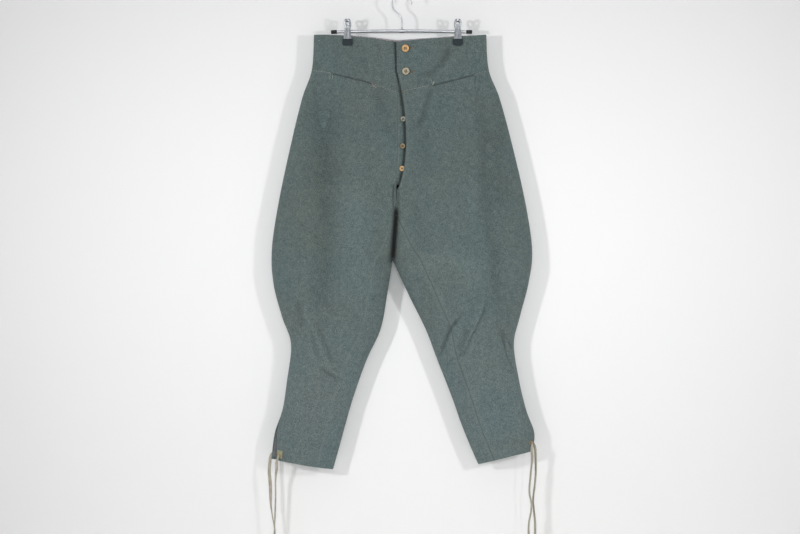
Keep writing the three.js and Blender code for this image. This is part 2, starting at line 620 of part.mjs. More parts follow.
// The rubber sleeve on a plate's foot, with the slot that the foot stands in.
function clipPad(x, side) {
  const { width, top, bottom, inner, outer, corner } = PAD;
  const outline = new THREE.Shape([
    [-width / 2, top], [-width / 2, bottom + corner], [corner - width / 2, bottom],
    [width / 2 - corner, bottom], [width / 2, bottom + corner], [width / 2, top],
  ].map(([across, z]) => new THREE.Vector2(across, z)));
  const block = new THREE.ExtrudeGeometry(outline, { depth: outer - inner, bevelEnabled: false })
    .rotateX(Math.PI / 2)
    .translate(0, side > 0 ? outer : -inner, 0);
  const foot = PLATE_PROFILE[0];
  const slot = new THREE.BoxGeometry(2 * foot.half + 1, PLATE + 0.8 + 2 * SEAM_GAP, 2 * (top - foot.z) + 1)
    .translate(0, side * (foot.y + (PLATE + 0.8) / 2), top);
  return cut(block, [slot]).translate(x, 0, 0);
}

// ---------- Assembly ----------

const breeches = new THREE.Group();

function add(name, geometry, material) {
  const mesh = new THREE.Mesh(geometry, material);
  mesh.name = name;
  breeches.add(mesh);
}

for (const half of Object.keys(HALVES)) {
  const holes = (face) => EYELETS.filter((one) => one.half === half && one.face === face).map(eyeletHole);
  for (const [face, panel] of [['front', frontPanel], ['back', backPanel]]) {
    add(`${face}_hip_${half}`, panel(half, HIP_ROWS), wool());
    add(`${face}_knee_${half}`, panel(half, KNEE_ROWS), wool());
    add(`${face}_shin_${half}`, cut(panel(half, SHIN_ROWS), holes(face)), wool());
  }
  add(`waistband_front_${half}`, bandFront(half), wool());
}
add('waistband_back', bandBack(), wool());
add('fly_button_stand', buttonStand(), wool());
for (const pocket of POCKETS) add(`pocket_facing_${pocket.name}`, pocketFacing(pocket), wool());
for (const one of BUTTONS) add(one.name, button(one), one.kind === WAIST_BUTTON ? horn() : nut());
for (const one of EYELETS) add(one.name, eyelet(one), brass());

for (const [name, route] of Object.entries(LACES)) add(name, lace(route), tape());

add('hanger_hook', hook(), chrome());
add('hanger_collar', sleeve(0, COLLAR), chrome());
add('hanger_rod', rod(), chrome());
add('hanger_cap_right', endCap(-1), black());
add('hanger_cap_left', endCap(1), black());
for (const { name, x } of CLIPS) {
  add(`clip_${name}_spring`, sleeve(x, SPRING), chrome());
  for (const [face, side] of [['front', -1], ['back', 1]]) {
    add(`clip_${name}_plate_${face}`, clipPlate(x, side), chrome());
    add(`clip_${name}_pad_${face}`, clipPad(x, side), rubber());
  }
}

export default breeches;
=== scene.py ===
# %% [markdown]
# # Wool riding breeches on a clip hanger
#
# The real thing is a pair of high-waisted breeches in grey-green wool. Two spring clips hold them by
# the waistband, and the clips slide on the rod of a wire hanger. The waistband is deep and shaped,
# the fly buttons up, the thighs are wide, and each leg is laced at the ankle.
#
# A CAD model of it already exists. We load that first, because it fixes every size and place: the
# script only adds what the CAD leaves out, such as soft creases, stitches and the look of the wool.
# The meshes are in metres, with +Z up and -Y at the front. Tables of places on the cloth are in
# millimetres, because whole numbers are easier to read. Left and right are the wearer's.

# %% Load the CAD model
import math

import bpy
import numpy as np
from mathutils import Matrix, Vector


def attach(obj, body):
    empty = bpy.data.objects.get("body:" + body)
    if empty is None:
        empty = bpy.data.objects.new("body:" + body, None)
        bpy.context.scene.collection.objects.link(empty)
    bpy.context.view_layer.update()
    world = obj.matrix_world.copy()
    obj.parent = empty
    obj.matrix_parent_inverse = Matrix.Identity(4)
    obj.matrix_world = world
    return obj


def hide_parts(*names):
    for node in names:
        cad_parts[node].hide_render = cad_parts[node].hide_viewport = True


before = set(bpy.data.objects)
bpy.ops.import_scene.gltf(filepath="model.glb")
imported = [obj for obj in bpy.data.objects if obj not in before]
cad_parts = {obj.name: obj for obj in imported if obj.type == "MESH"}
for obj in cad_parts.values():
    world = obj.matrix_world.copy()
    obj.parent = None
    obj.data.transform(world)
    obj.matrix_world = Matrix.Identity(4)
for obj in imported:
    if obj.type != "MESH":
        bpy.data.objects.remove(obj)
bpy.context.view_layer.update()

# %% [markdown]
# ## Camera and light
#
# The garment hangs flat against a white wall, and the camera looks at it squarely from 3.5 m. A long
# lens keeps the sides straight. Two small soft lamps, at the left and right, give each edge a faint
# shadow of its own on the wall. A large one at the front lifts both shadows, one behind lights the
# hidden sides, and a pale world fills in the rest. The world is dim on the camera's side and bright
# above, like a real studio: light that comes from everywhere alike would wipe out the creases, and
# chrome would have nothing dark to mirror.

# %% Camera
camera = bpy.data.objects.new("camera", bpy.data.cameras.new("camera"))
camera.data.lens = 67
camera.data.sensor_width = 36
camera.location = (-0.0047, -3.5, -0.640)
camera.rotation_euler = (math.pi / 2, 0, 0)
bpy.context.collection.objects.link(camera)
bpy.context.scene.camera = camera
print("the camera is", -camera.location.y, "m from the garment")

# %% [markdown]
# ## Materials out of nodes
#
# Every finish here is procedural: it is computed from where a point lies on the piece, so it needs
# no picture. Building node trees by hand takes many lines, so small helpers do it: one adds a node
# and fills in its inputs, one starts a node group, and the rest add what is needed again and again.
# A group is a recipe with named inputs and outputs, and each material that uses it can give it
# values of its own.

# %% Node helpers
def add_node(tree, kind, inputs=None, **settings):
    """Adds a node. inputs takes numbers and colours, or another node's output to link."""
    made = tree.nodes.new("ShaderNode" + kind)
    for name, value in settings.items():
        setattr(made, name, value)
    for name, value in (inputs or {}).items():
        if isinstance(value, bpy.types.NodeSocket):
            tree.links.new(value, made.inputs[name])
        else:
            made.inputs[name].default_value = value
    return made


def start_group(name, inputs, outputs):
    """An empty node group with these sockets. Returns its tree, its inputs and its end node."""
    tree = bpy.data.node_groups.new(name, "ShaderNodeTree")
    for label, kind, value in inputs:
        tree.interface.new_socket(label, in_out="INPUT", socket_type=kind).default_value = value
    for label, kind in outputs:
        tree.interface.new_socket(label, in_out="OUTPUT", socket_type=kind)
    return tree, tree.nodes.new("NodeGroupInput").outputs, tree.nodes.new("NodeGroupOutput").inputs


def use_group(tree, group, inputs=None):
    """Places a node group in a material's tree."""
    return add_node(tree, "Group", inputs, node_tree=group).outputs


print("nodes and groups can be added")

# %% Arithmetic, noise and mixing
def math_node(tree, operation, a, b=0.0, clamp=False):
    """One step of arithmetic on values. clamp keeps the result between 0 and 1."""
    return add_node(tree, "Math", {0: a, 1: b}, operation=operation, use_clamp=clamp).outputs[0]


def plus(tree, a, b):
    return math_node(tree, "ADD", a, b)


def times(tree, a, b):
    return math_node(tree, "MULTIPLY", a, b)


def map_range(tree, value, low, high, to_low=0.0, to_high=1.0, **settings):
    """Stretches values between low and high to another pair of ends."""
    made = add_node(tree, "MapRange", {"Value": value, "From Min": low, "From Max": high,
                                       "To Min": to_low, "To Max": to_high}, **settings)
    return made.outputs[0]


def noise_on(tree, scale, detail, roughness=0.5):
    """Uneven values over a piece, which keep their places on it."""
    where = add_node(tree, "TexCoord").outputs["Object"]
    made = add_node(tree, "TexNoise", {"Vector": where, "Scale": scale, "Detail": detail,
                                       "Roughness": roughness})
    return made.outputs[0]


def add_bump(tree, inputs, height, strength, distance):
    """Small unevenness that only the light sees, so it needs no finer mesh."""
    bump = add_node(tree, "Bump", {"Height": height, "Strength": strength, "Distance": distance})
    tree.links.new(bump.outputs[0], inputs["Normal"])


def mix_colour(tree, factor, a, b, blend="MIX"):
    """Mixes two colours. A Mix node keeps its colour sockets at 6 and 7, and its result at 2."""
    made = add_node(tree, "Mix", {0: factor, 6: a, 7: b}, data_type="RGBA", blend_type=blend)
    return made.outputs[2]


print("values can be added, multiplied, stretched and mixed")

# %% Colours and new materials
def colour(red, green, blue):
    """A colour from the 0 to 255 that a paint chart gives, as the linear values that nodes use."""
    line = [c / 255 for c in (red, green, blue)]
    return (*[c / 12.92 if c <= 0.04045 else ((c + 0.055) / 1.055) ** 2.4 for c in line], 1)


def new_material(name, **constants):
    """A material with one Principled BSDF, whose plain values are set here."""
    made = bpy.data.materials.new(name)
    made.use_nodes = True
    shader = made.node_tree.nodes["Principled BSDF"]
    for label, value in constants.items():
        shader.inputs[label.replace("_", " ")].default_value = value
    return made, made.node_tree, shader.inputs


print("a mid grey of 128 is", round(colour(128, 128, 128)[0], 3), "to a node")

# %% Lamps and world
scene = bpy.context.scene
scene.view_settings.view_transform = "Standard"
scene.world = bpy.data.worlds.new("pale studio")
scene.world.use_nodes = True
sky = scene.world.node_tree
way = add_node(sky, "SeparateXYZ", {0: add_node(sky, "TexCoord").outputs["Generated"]}).outputs
round_about = map_range(sky, way["Y"], -1.0, 0.1, 0.14, 0.44)
overhead = map_range(sky, way["Z"], -0.1, 0.9, 0.0, 0.34)
backdrop = sky.nodes["Background"].inputs
backdrop["Color"].default_value = (0.96, 0.965, 0.98, 1)
sky.links.new(plus(sky, round_about, overhead), backdrop["Strength"])


def lamp(name, place, target, size, power, spread=180):
    """A soft square lamp at a place, turned to a target."""
    data = bpy.data.lights.new(name, "AREA")
    data.size, data.energy, data.spread = size, power, math.radians(spread)
    made = bpy.data.objects.new(name, data)
    made.location = place
    made.rotation_euler = (Vector(target) - Vector(place)).to_track_quat("-Z", "Y").to_euler()
    made.visible_camera = False
    bpy.context.collection.objects.link(made)


lamp("lamp right", (-1.5, -1.75, -0.3), target=(0.15, 0, -0.56), size=0.18, power=3.9, spread=84)
lamp("lamp left", (1.55, -1.75, -0.3), target=(0.13, 0, -0.56), size=0.18, power=3.0, spread=84)
lamp("lamp front", (0, -3.3, -0.25), target=(0.03, 0, -0.6), size=0.9, power=6.4, spread=110)
lamp("lamp behind", (0.4, 2.6, 0.6), target=(0, 0, -0.6), size=1.6, power=60)
print(len(bpy.data.lights), "lamps")

# %% [markdown]
# ## Wall and floor
#
# A plain white wall stands close behind the garment and catches its shadows. Anyone who walks round
# the object has to see its back too, so the wall is painted on its front only: seen from behind,
# and for shadows, it is left out. Backfacing and Light Path are the nodes that tell those apart.

# %% Wall and floor
def stage_plane(name, corners, paint):
    """A flat part of the surroundings, which isn't part of the garment."""
    mesh = bpy.data.meshes.new(name)
    mesh.from_pydata(corners, [], [(0, 1, 2, 3)])
    mesh.materials.append(paint)
    made = bpy.data.objects.new(name, mesh)
    bpy.context.collection.objects.link(made)
    return made


wall_paint, tree, paint = new_material("white wall", Roughness=0.9)
wash = add_node(tree, "TexNoise", {"Scale": 1.3, "Detail": 3.0})
white = mix_colour(tree, wash.outputs[0], colour(247, 247, 246), colour(243, 243, 244))
tree.links.new(white, paint["Base Color"])
behind = add_node(tree, "NewGeometry").outputs["Backfacing"]
clear = math_node(tree, "MAXIMUM", behind, add_node(tree, "LightPath").outputs["Is Shadow Ray"])
both = add_node(tree, "MixShader", {0: clear, 1: tree.nodes["Principled BSDF"].outputs[0],
                                   2: add_node(tree, "BsdfTransparent").outputs[0]})
tree.links.new(both.outputs[0], tree.nodes["Material Output"].inputs["Surface"])
floor_paint, tree, paint = new_material("pale floor", Roughness=0.85)
wash = add_node(tree, "TexNoise", {"Scale": 2.0, "Detail": 4.0})
pale_grey = mix_colour(tree, wash.outputs[0], colour(232, 231, 229), colour(226, 225, 223))
tree.links.new(pale_grey, paint["Base Color"])

WALL_Y, FLOOR_Z = 0.042, -1.42
wall_corners = [(-4, WALL_Y, FLOOR_Z), (4, WALL_Y, FLOOR_Z), (4, WALL_Y, 2), (-4, WALL_Y, 2)]
floor_corners = [(x, y, FLOOR_Z) for x, y in ((-5, -5), (5, -5), (5, 5), (-5, 5))]
stage_plane("wall", wall_corners, wall_paint)
stage_plane("floor", floor_corners, floor_paint)
print("the wall is", WALL_Y, "m behind the middle of the garment")

# %% [markdown]
# ## Small shapes
#
# Threads, wires, rings and tapes are all made from rings of points joined into strips. Blender has
# ready-made cylinders, but these parts bend, taper and carry grooves, so we compute their points.

# %% Objects out of points
def make_object(name, parts, material, smooth_below=40):
    """Joins (points, faces) parts into one object."""
    points, faces, count = [], [], 0
    for part_points, part_faces in parts:
        points.append(np.asarray(part_points, float).reshape(-1, 3))
        faces += [[i + count for i in face] for face in part_faces]
        count += len(points[-1])
    mesh = bpy.data.meshes.new(name)
    mesh.from_pydata(np.concatenate(points).tolist(), [], faces)
    mesh.materials.append(material)
    mesh.shade_smooth()
    mesh.set_sharp_from_angle(angle=math.radians(smooth_below))
    made = bpy.data.objects.new(name, mesh)
    bpy.context.collection.objects.link(made)
    return made


def ring_faces(rings, sides, closed=False, capped=True):
    """Faces between rings of points, with flat ends unless the rings close on themselves."""
    faces = []
    for i in range(rings if closed else rings - 1):
        a, b = i * sides, (i + 1) % rings * sides
        faces += [[a + j, a + (j + 1) % sides, b + (j + 1) % sides, b + j] for j in range(sides)]
    if capped and not closed:
        faces += [list(range(sides))[::-1], [(rings - 1) * sides + j for j in range(sides)]]
    return faces


print("two rings of 8 points make", len(ring_faces(2, 8)), "faces with both ends")

# %% Smooth paths
def spline(values, row):
    """A table's column at fractional row numbers, on a smooth curve through its rows."""
    values, row = np.asarray(values, float), np.asarray(row, float)
    last = len(values) - 1
    i = np.clip(np.floor(row).astype(int), 0, last - 1)
    t = row - i
    a, b, c, d = (values[np.clip(i + k, 0, last)] for k in (-1, 0, 1, 2))
    t = t.reshape(t.shape + (1,) * (b.ndim - t.ndim))
    return b + 0.5 * t * (c - a + t * (2 * a - 5 * b + 4 * c - d + t * (3 * (b - c) + d - a)))


def distance_along(path):
    """How far each point of a path, or each row of a grid, is from the first one."""
    steps = np.linalg.norm(np.diff(path, axis=0), axis=-1)
    return np.concatenate([np.zeros_like(steps[:1]), np.cumsum(steps, axis=0)])


def smooth_path(points, count):
    """count points on a smooth curve through the given ones, evenly spaced."""
    fine = spline(points, np.linspace(0, len(points) - 1, 12 * len(points)))
    along = distance_along(fine)
    at = np.linspace(0, along[-1], count)
    return np.stack([np.interp(at, along, fine[:, k]) for k in range(3)], axis=1)


def length_of(path):
    return float(np.linalg.norm(np.diff(path, axis=0), axis=1).sum())


def directions(path):
    """The way ahead at each point of a path."""
    way = np.gradient(path, axis=0)
    return way / np.linalg.norm(way, axis=1, keepdims=True)


print("a smooth path through three points is", round(length_of(smooth_path(np.eye(3), 20)), 2), "long")

# %% Tubes, turned parts and where they go
def tube(path, radius, sides=8):
    """A round wire or thread along a path. radius may change from point to point."""
    path = np.asarray(path, float)
    way = directions(path)
    side = np.cross(way[0], (0.3, 0.9, 0.31))
    rings = []
    turn = np.linspace(0, 2 * math.pi, sides, endpoint=False)
    for point, ahead, r in zip(path, way, np.broadcast_to(radius, len(path))):
        side = side - ahead * side.dot(ahead)
        side /= np.linalg.norm(side)
        up = np.cross(ahead, side)
        rings.append(point + r * (np.cos(turn)[:, None] * side + np.sin(turn)[:, None] * up))
    return np.concatenate(rings), ring_faces(len(path), sides)


def turned(profile, sides=40, closed=True):
    """A lathed part round +Z. profile is (radius, height) pairs, closed into a ring or open."""
    turn = np.linspace(0, 2 * math.pi, sides, endpoint=False)
    rings = [[(r * math.cos(t), r * math.sin(t), h) for t in turn] for r, h in profile]
    return np.array(rings).reshape(-1, 3), ring_faces(len(profile), sides, closed)


def moved(part, place, direction=(0, 0, 1)):
    """A part with its +Z turned to a direction and its origin moved to a place."""
    turn = np.array(Vector((0, 0, 1)).rotation_difference(Vector(direction)).to_matrix())
    return np.asarray(part[0]) @ turn.T + np.asarray(place), part[1]


def fit(piece, slot, *nodes):
    """Makes a piece ride on the one rigid body and stand for its CAD nodes. slot is not used."""
    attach(piece, "root")
    if nodes:
        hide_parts(*nodes)
    return piece


print("a circle of 40 sides has", len(turned([(1, 0), (2, 0)])[0]), "points in two rings")

# %% [markdown]
# ## Laces
#
# Each ankle is laced with one flat cotton tape, 8 mm wide, and its two free ends hang down and turn
# slowly on themselves. A curve with a round bevel would look like string, so each one is a mesh: a
# flat ring of points that travels along the route and turns as it goes.

# %% Woven tape material
tree, given, made = start_group(
    "Plain Weave",
    [("Threads", "NodeSocketFloat", 16.0)],
    [("Height", "NodeSocketFloat"), ("Shade", "NodeSocketFloat")])
map_node = add_node(tree, "UVMap", uv_map="tape")
size = add_node(tree, "VectorMath", {0: map_node.outputs[0], 3: given["Threads"]}, operation="SCALE")
parts = add_node(tree, "SeparateXYZ", {0: size.outputs[0]})
wave_x = math_node(tree, "SINE", times(tree, parts.outputs[0], math.pi))
wave_y = math_node(tree, "SINE", times(tree, parts.outputs[1], math.pi))
weave = math_node(tree, "ABSOLUTE", times(tree, wave_x, wave_y))
tree.links.new(plus(tree, weave, noise_on(tree, 700.0, 2.0)), made["Height"])
blotches = times(tree, noise_on(tree, 90.0, 3.0), 0.75)
shade = plus(tree, times(tree, weave, 0.35), blotches)
tree.links.new(shade, made["Shade"])
plain_weave = tree


def tape_material(name, dark, light):
    made, tree, inputs = new_material(name, Roughness=0.9)
    cloth_weave = use_group(tree, plain_weave)
    tree.links.new(mix_colour(tree, cloth_weave["Shade"], dark, light), inputs["Base Color"])
    add_bump(tree, inputs, cloth_weave["Height"], 0.5, 0.0003)
    return made


lace_cotton = tape_material("lace cotton", colour(122, 117, 102), colour(204, 199, 184))
print(len(lace_cotton.node_tree.nodes), "nodes in the tape's material")

# %% Tape along a route
TAPE_WIDTH, TAPE_THICK, TAPE_SIDES = 0.008, 0.0009, 14
EYELET_SQUEEZE = 0.55


def tape(name, route, turns, material):
    """A flat tape. turns is (part of the way, degrees away from facing the front) pairs."""
    path = smooth_path(np.array(route) / 1000, 150)
    way = directions(path)
    along = np.linspace(0, 1, len(path))
    angle = np.radians(np.interp(along, *zip(*turns)))
    squeezed = np.interp(along * length_of(path), [0.012, 0.03], [EYELET_SQUEEZE, 1])
    width = TAPE_WIDTH / 2 * squeezed
    around = np.linspace(0, 2 * math.pi, TAPE_SIDES, endpoint=False)
    wide = np.sign(np.cos(around)) * np.abs(np.cos(around)) ** 0.6
    thick = np.sign(np.sin(around)) * np.abs(np.sin(around)) ** 0.8 * TAPE_THICK / 2
    rings, uv = [], []
    for i, (point, ahead) in enumerate(zip(path, way)):
        flat = np.array([1.0, 0, 0]) - ahead * ahead[0]
        flat /= np.linalg.norm(flat)
        over = np.cross(ahead, flat)
        turn_flat = math.cos(angle[i]) * flat + math.sin(angle[i]) * over
        turn_over = math.cos(angle[i]) * over - math.sin(angle[i]) * flat
        cup = 0.0007 * (1 - wide ** 2)
        rings.append(point + (wide * width[i])[:, None] * turn_flat + (thick + cup)[:, None] * turn_over)
        woven = np.full(TAPE_SIDES, along[i] * length_of(path) / TAPE_WIDTH)
        uv.append(np.stack([(wide + 1) / 2, woven], 1))
    made = make_object(name, [(np.concatenate(rings), ring_faces(len(path), TAPE_SIDES))], material, 60)
    layer, corners = made.data.uv_layers.new(name="tape"), np.concatenate(uv)
    index = np.empty(len(made.data.loops), int)
    made.data.loops.foreach_get("vertex_index", index)
    layer.data.foreach_set("uv", corners[index].ravel())
    return made, path


print("the lace is", 1000 * TAPE_WIDTH, "mm wide and", 1000 * TAPE_THICK, "mm thick")

# %% Four free ends of the laces
LACES = {
    "lace_right_front": {
        "route": [
            (-286.2, -5.6, -1081.7), (-287.6, -10, -1081.6), (-288.9, -14, -1081.7), (-290.2, -15.4, -1085.5),
            (-292, -14, -1092), (-293.5, -11.5, -1100), (-294, -8, -1113), (-296, -4.5, -1127),
            (-297, -2, -1143), (-297, -1, -1163), (-297.2, 0, -1183), (-297.8, 1, -1205),
            (-298.5, 1.5, -1228), (-299.6, 1.5, -1248), (-300.3, 1.5, -1265), (-301, 1.5, -1283),
            (-300.4, 1.5, -1300), (-299, 1.5, -1316)],
        "turns": [(0, 0), (0.12, 20), (0.3, 62), (0.6, 58), (0.8, 70), (1, 50)]},
    "lace_right_back": {
        "route": [
            (-296, 1.3, -1076.2), (-297.6, 5, -1076.2), (-299.4, 9, -1076.2), (-302.8, 10.8, -1076.8),
            (-307, 9.5, -1080), (-310, 7, -1088), (-311, 5.5, -1099), (-312.1, 4.8, -1112),
            (-312.2, 4.5, -1126), (-310.6, 4.5, -1143), (-309.6, 4.5, -1160), (-309.2, 4.8, -1181),
            (-308.4, 5.2, -1202), (-306, 5.8, -1219), (-303.6, 6.6, -1235), (-300.8, 7.5, -1250),
            (-299.8, 8, -1265), (-301.5, 8, -1285), (-303, 8, -1304), (-302, 8, -1325)],
        "turns": [(0, 0), (0.1, 30), (0.2, 20), (0.35, 8), (0.45, 30), (0.6, 66), (0.85, 52), (1, 62)]},
    "lace_left_front": {
        "route": [
            (300.5, -2.1, -1052.3), (302.8, -6, -1052.6), (305, -9.9, -1053), (305.4, -11.8, -1057),
            (304.4, -11.8, -1065), (304.4, -10.2, -1074), (305.3, -8, -1084), (305.2, -5.5, -1094),
            (304.4, -4, -1106), (302.8, -3, -1122), (301.5, -2.5, -1138), (299.6, -2.5, -1156),
            (299.8, -3, -1174), (303.4, -3.5, -1190), (304.2, -3, -1203), (302.6, -2, -1219),
            (298.6, -1.5, -1239), (297.6, -1, -1262), (298.5, -1, -1282), (299.4, -1, -1302),
            (298.8, -1, -1316)],
        "turns": [(0, 0), (0.1, 40), (0.25, 64), (0.5, 58), (0.7, 66), (0.9, 50), (1, 58)]},
    "lace_left_back": {
        "route": [
            (300.8, 1.3, -1052.3), (302.8, 5.2, -1052.6), (304.6, 8.9, -1052.9), (307.6, 10.6, -1054.2),
            (311.2, 9, -1058.5), (313.5, 6.5, -1067), (314.2, 5, -1080), (314.4, 4.5, -1095),
            (315, 4, -1110), (314.8, 4, -1125), (313.6, 4, -1143), (311.8, 4, -1160),
            (309.5, 4.5, -1177), (308.7, 5, -1191), (309.6, 4.5, -1204), (311.2, 4, -1219),
            (313.2, 3.5, -1240), (313.3, 3, -1263), (312.4, 3, -1284), (311.8, 3, -1305),
            (312.6, 3, -1322)],
        "turns": [(0, 0), (0.12, 50), (0.3, 60), (0.55, 64), (0.75, 54), (1, 60)]},
}
for name, facts in LACES.items():
    strand, path = tape(name + "_tape", facts["route"], facts["turns"], lace_cotton)
    fit(strand, "lace_tape", name)
    print(name, "hangs", round(length_of(path), 3), "m long")

# %% [markdown]
# ## The cut of the breeches
#
# The cloth hangs as a flattened tube that forks into two legs. Slanted sections describe it, from
# the waistband's top edge down to the hem, just as in the CAD model. A place on the cloth has a
# section number, a share of the way from the section's inner end to the side seam, and a face.
# With numpy we compute thousands of such places at once, which gives a much finer skin than the
# CAD's and leaves the outline where it is.

# %% Sections
SECTIONS = {
    "left": {
        "out_x": [198, 204, 230, 262, 291, 306, 297, 277, 263, 275, 292, 311, 306],
        "out_z": [-94, -177, -245, -365, -494, -602, -680, -757, -821, -905, -976, -1030, -1073],
        "in_x": [-13, -11, -11, -11, -14, -22, 13, 55, 83, 117, 140, 161, 179],
        "in_z": [-113, -232, -300, -400, -518, -624, -700, -785, -858, -945, -1010, -1062, -1103],
        "bow": [1, -3, 0, 0, 0, 0, 0, 0, 0, 0, 0, 0, 1],
        "inseam": [0, 0, 0, 0, 0, 64, 63, 57, 45, 41, 39, 38, 38]},
    "right": {
        "out_x": [-207, -212, -235, -264, -291, -306, -302, -282, -261, -270, -281, -299, -307],
        "out_z": [-94, -177, -245, -365, -494, -600, -680, -757, -821, -905, -976, -1030, -1091],
        "in_x": [-13, -11, -11, -11, -14, -22, -34, -50, -83, -114, -133, -147, -162],
        "in_z": [-113, -232, -300, -400, -518, -624, -700, -785, -858, -945, -1010, -1062, -1115],
        "bow": [4, 7, 0, 0, 0, 0, 0, 0, 0, 0, 0, 0, -1],
        "inseam": [0, 0, 0, 0, 0, 42, 44, 44, 43, 42, 40, 39, 38]},
}
BOTH_HALVES = {
    "rise": [7, 47, 34, 22, 9, 0, 0, 0, 0, 0, 0, 0, 0],
    "front": [15, 22, 27, 35, 41, 43, 41, 35, 28, 24, 21, 19, 17],
    "back": [9, 15, 21, 28, 34, 36, 34, 30, 25, 21, 18, 16, 15],
}
SIDE = {"left": 1, "right": -1}
WAIST_SEAM, CROSSING, FORK, VENT_TOP, HEM = 1, 4, 5, 10.2, 12


def column(half, name, section, inner=False):
    """A column of the sections, in metres. An inner end turns a sharp corner at the fork."""
    values = np.array(SECTIONS[half].get(name) or BOTH_HALVES[name]) / 1000
    if not inner:
        return spline(values, section)
    above = spline(values[:FORK + 1], np.minimum(section, FORK))
    return np.where(section < FORK, above, spline(values[FORK:], np.maximum(section, FORK) - FORK))


def width_at(half, section):
    """How wide one half is in the front view."""
    return np.abs(column(half, "out_x", section) - column(half, "in_x", section, True))


print("the thighs are", round(1000 * float(width_at("left", 5) + width_at("right", 5))), "mm wide in all")

# %% Outline of the tube and the fly's opening
FLY = {"top": -0.185, "bottom": -0.460, "open": 0.0205, "lift": 0.0036, "curl": 0.004,
       "flat": 0.044, "fade": 0.090}


def blend(a, b, part):
    """A value that is part of the way from a to b."""
    return a + (b - a) * part


def ease(low, high, value):
    """Goes from 0 to 1 without a jerk while the value goes from low to high."""
    part = np.clip((value - low) / (high - low), 0, 1)
    return part * part * (3 - 2 * part)


def lens(part):
    """The outline of a flattened tube, seen from its end: 1 in the middle, 0 at 1 and at -1."""
    return np.maximum(1 - np.abs(part) ** 2.2, 0) ** 0.74


def centre_open(section):
    """1 at the waist, where both halves are one tube, and 0 below the fork."""
    return (1 - np.clip((section - WAIST_SEAM) / (FORK - WAIST_SEAM), 0, 1) ** 4) ** 0.8


def fly_open(z):
    """How far the lapped edge of the fly stands back from its line, at a height."""
    part = np.clip((z - FLY["bottom"]) / (FLY["top"] - FLY["bottom"]), 0, 1)
    return FLY["open"] * np.maximum(np.sin(math.pi * part ** 0.8), 0) ** 0.8


def lap_lift(off, z):
    """How far the lapped front lies over the cloth under it, off metres from the fly's line."""
    lap = (1 - ease(FLY["flat"], FLY["fade"], off)) * ease(FLY["bottom"] - 0.045, FLY["bottom"], z)
    return FLY["lift"] * lap + FLY["curl"] * (1 - ease(0, FLY["flat"], off)) * fly_open(z) / FLY["open"]


print("the fly's edge stands open", round(1000 * float(fly_open(-0.33)), 1), "mm halfway down")

# %% Surface of the cloth
CLIP_X = (-0.128, 0.131)
PINCH = {"reach": 0.035, "start": -0.215, "full": -0.122, "depth": 0.0033}
BROAD_FOLDS = [
    {"face": "front", "start": (-172, -380), "end": (-184, -770), "reach": 32, "height": -4},
    {"face": "front", "start": (-204, -800), "end": (-160, -890), "reach": 22, "height": -4},
    {"face": "front", "start": (118, -775), "end": (84, -850), "reach": 22, "height": -4},
    {"face": "front", "start": (190, -735), "end": (152, -830), "reach": 22, "height": -5},
    {"face": "front", "start": (218, -560), "end": (222, -760), "reach": 30, "height": -4},
    {"face": "back", "start": (-150, -470), "end": (-190, -740), "reach": 34, "height": -4},
    {"face": "back", "start": (150, -500), "end": (185, -760), "reach": 32, "height": -5},
    {"face": "back", "start": (-225, -800), "end": (-140, -850), "reach": 22, "height": -4},
    {"face": "back", "start": (225, -805), "end": (130, -840), "reach": 22, "height": -4},
]


def distance_to(line, x, z):
    """Distance to a broken line in the front view, which side it is on, and how far along it."""
    best, side, along = np.full(np.shape(x), np.inf), np.zeros(np.shape(x)), np.zeros(np.shape(x))
    steps = [math.dist(a, b) for a, b in zip(line, line[1:])]
    done = 0.0
    for (ax, az), (bx, bz), step in zip(line, line[1:], steps):
        run_x, run_z = bx - ax, bz - az
        part = np.clip(((x - ax) * run_x + (z - az) * run_z) / step ** 2, 0, 1)
        off_x, off_z = x - ax - part * run_x, z - az - part * run_z
        away = np.hypot(off_x, off_z)
        closer = away < best
        best = np.where(closer, away, best)
        side = np.where(closer, np.sign(run_x * off_z - run_z * off_x), side)
        along = np.where(closer, (done + part * step) / sum(steps), along)
        done += step
    return best, side, along


def cloth(half, section, share, face, inset=0.0, lapped=False):
    """Points of the cloth, inset from its outer skin, for arrays of sections and shares."""
    section, share = np.broadcast_arrays(np.asarray(section, float), np.asarray(share, float))
    line_x = column(half, "in_x", section, True)
    in_x = line_x + SIDE[half] * inset * np.sqrt(1 - centre_open(section) ** 2)
    x = blend(in_x, column(half, "out_x", section) - SIDE[half] * inset, share)
    in_z = column(half, "in_z", section, True)
    if face == "back":
        in_z = in_z + column(half, "rise", section, True)
    z = blend(in_z, column(half, "out_z", section), share)
    z = z + column(half, "bow", section) * np.sin(math.pi * share)
    opening = blend(centre_open(section), 1 - ease(WAIST_SEAM, FORK, section), ease(0, 0.3, share))
    outline = blend(lens(2 * share - 1), lens(share), opening)
    depth = (column(half, face, section) - inset) * outline
    for clip in CLIP_X:
        pinch = np.exp(-((x - clip) / PINCH["reach"]) ** 4) * ease(PINCH["start"], PINCH["full"], z)
        depth = blend(depth, PINCH["depth"] - inset, pinch)
    for fold in BROAD_FOLDS:
        if fold["face"] == face:
            start, end = np.array(fold["start"]) / 1000, np.array(fold["end"]) / 1000
            away = distance_to([start, end], x, z)[0]
            depth = depth + fold["height"] / 1000 * np.exp(-(1000 * away / fold["reach"]) ** 2) * outline
    depth = depth + share * 0.00015
    if lapped:
        depth = depth + lap_lift(x - line_x, z)
    return np.stack([x, -depth if face == "front" else depth, z], axis=-1)


print("the thigh stands out", round(-1000 * float(cloth("left", FORK, 0.5, "front")[1])), "mm in front")
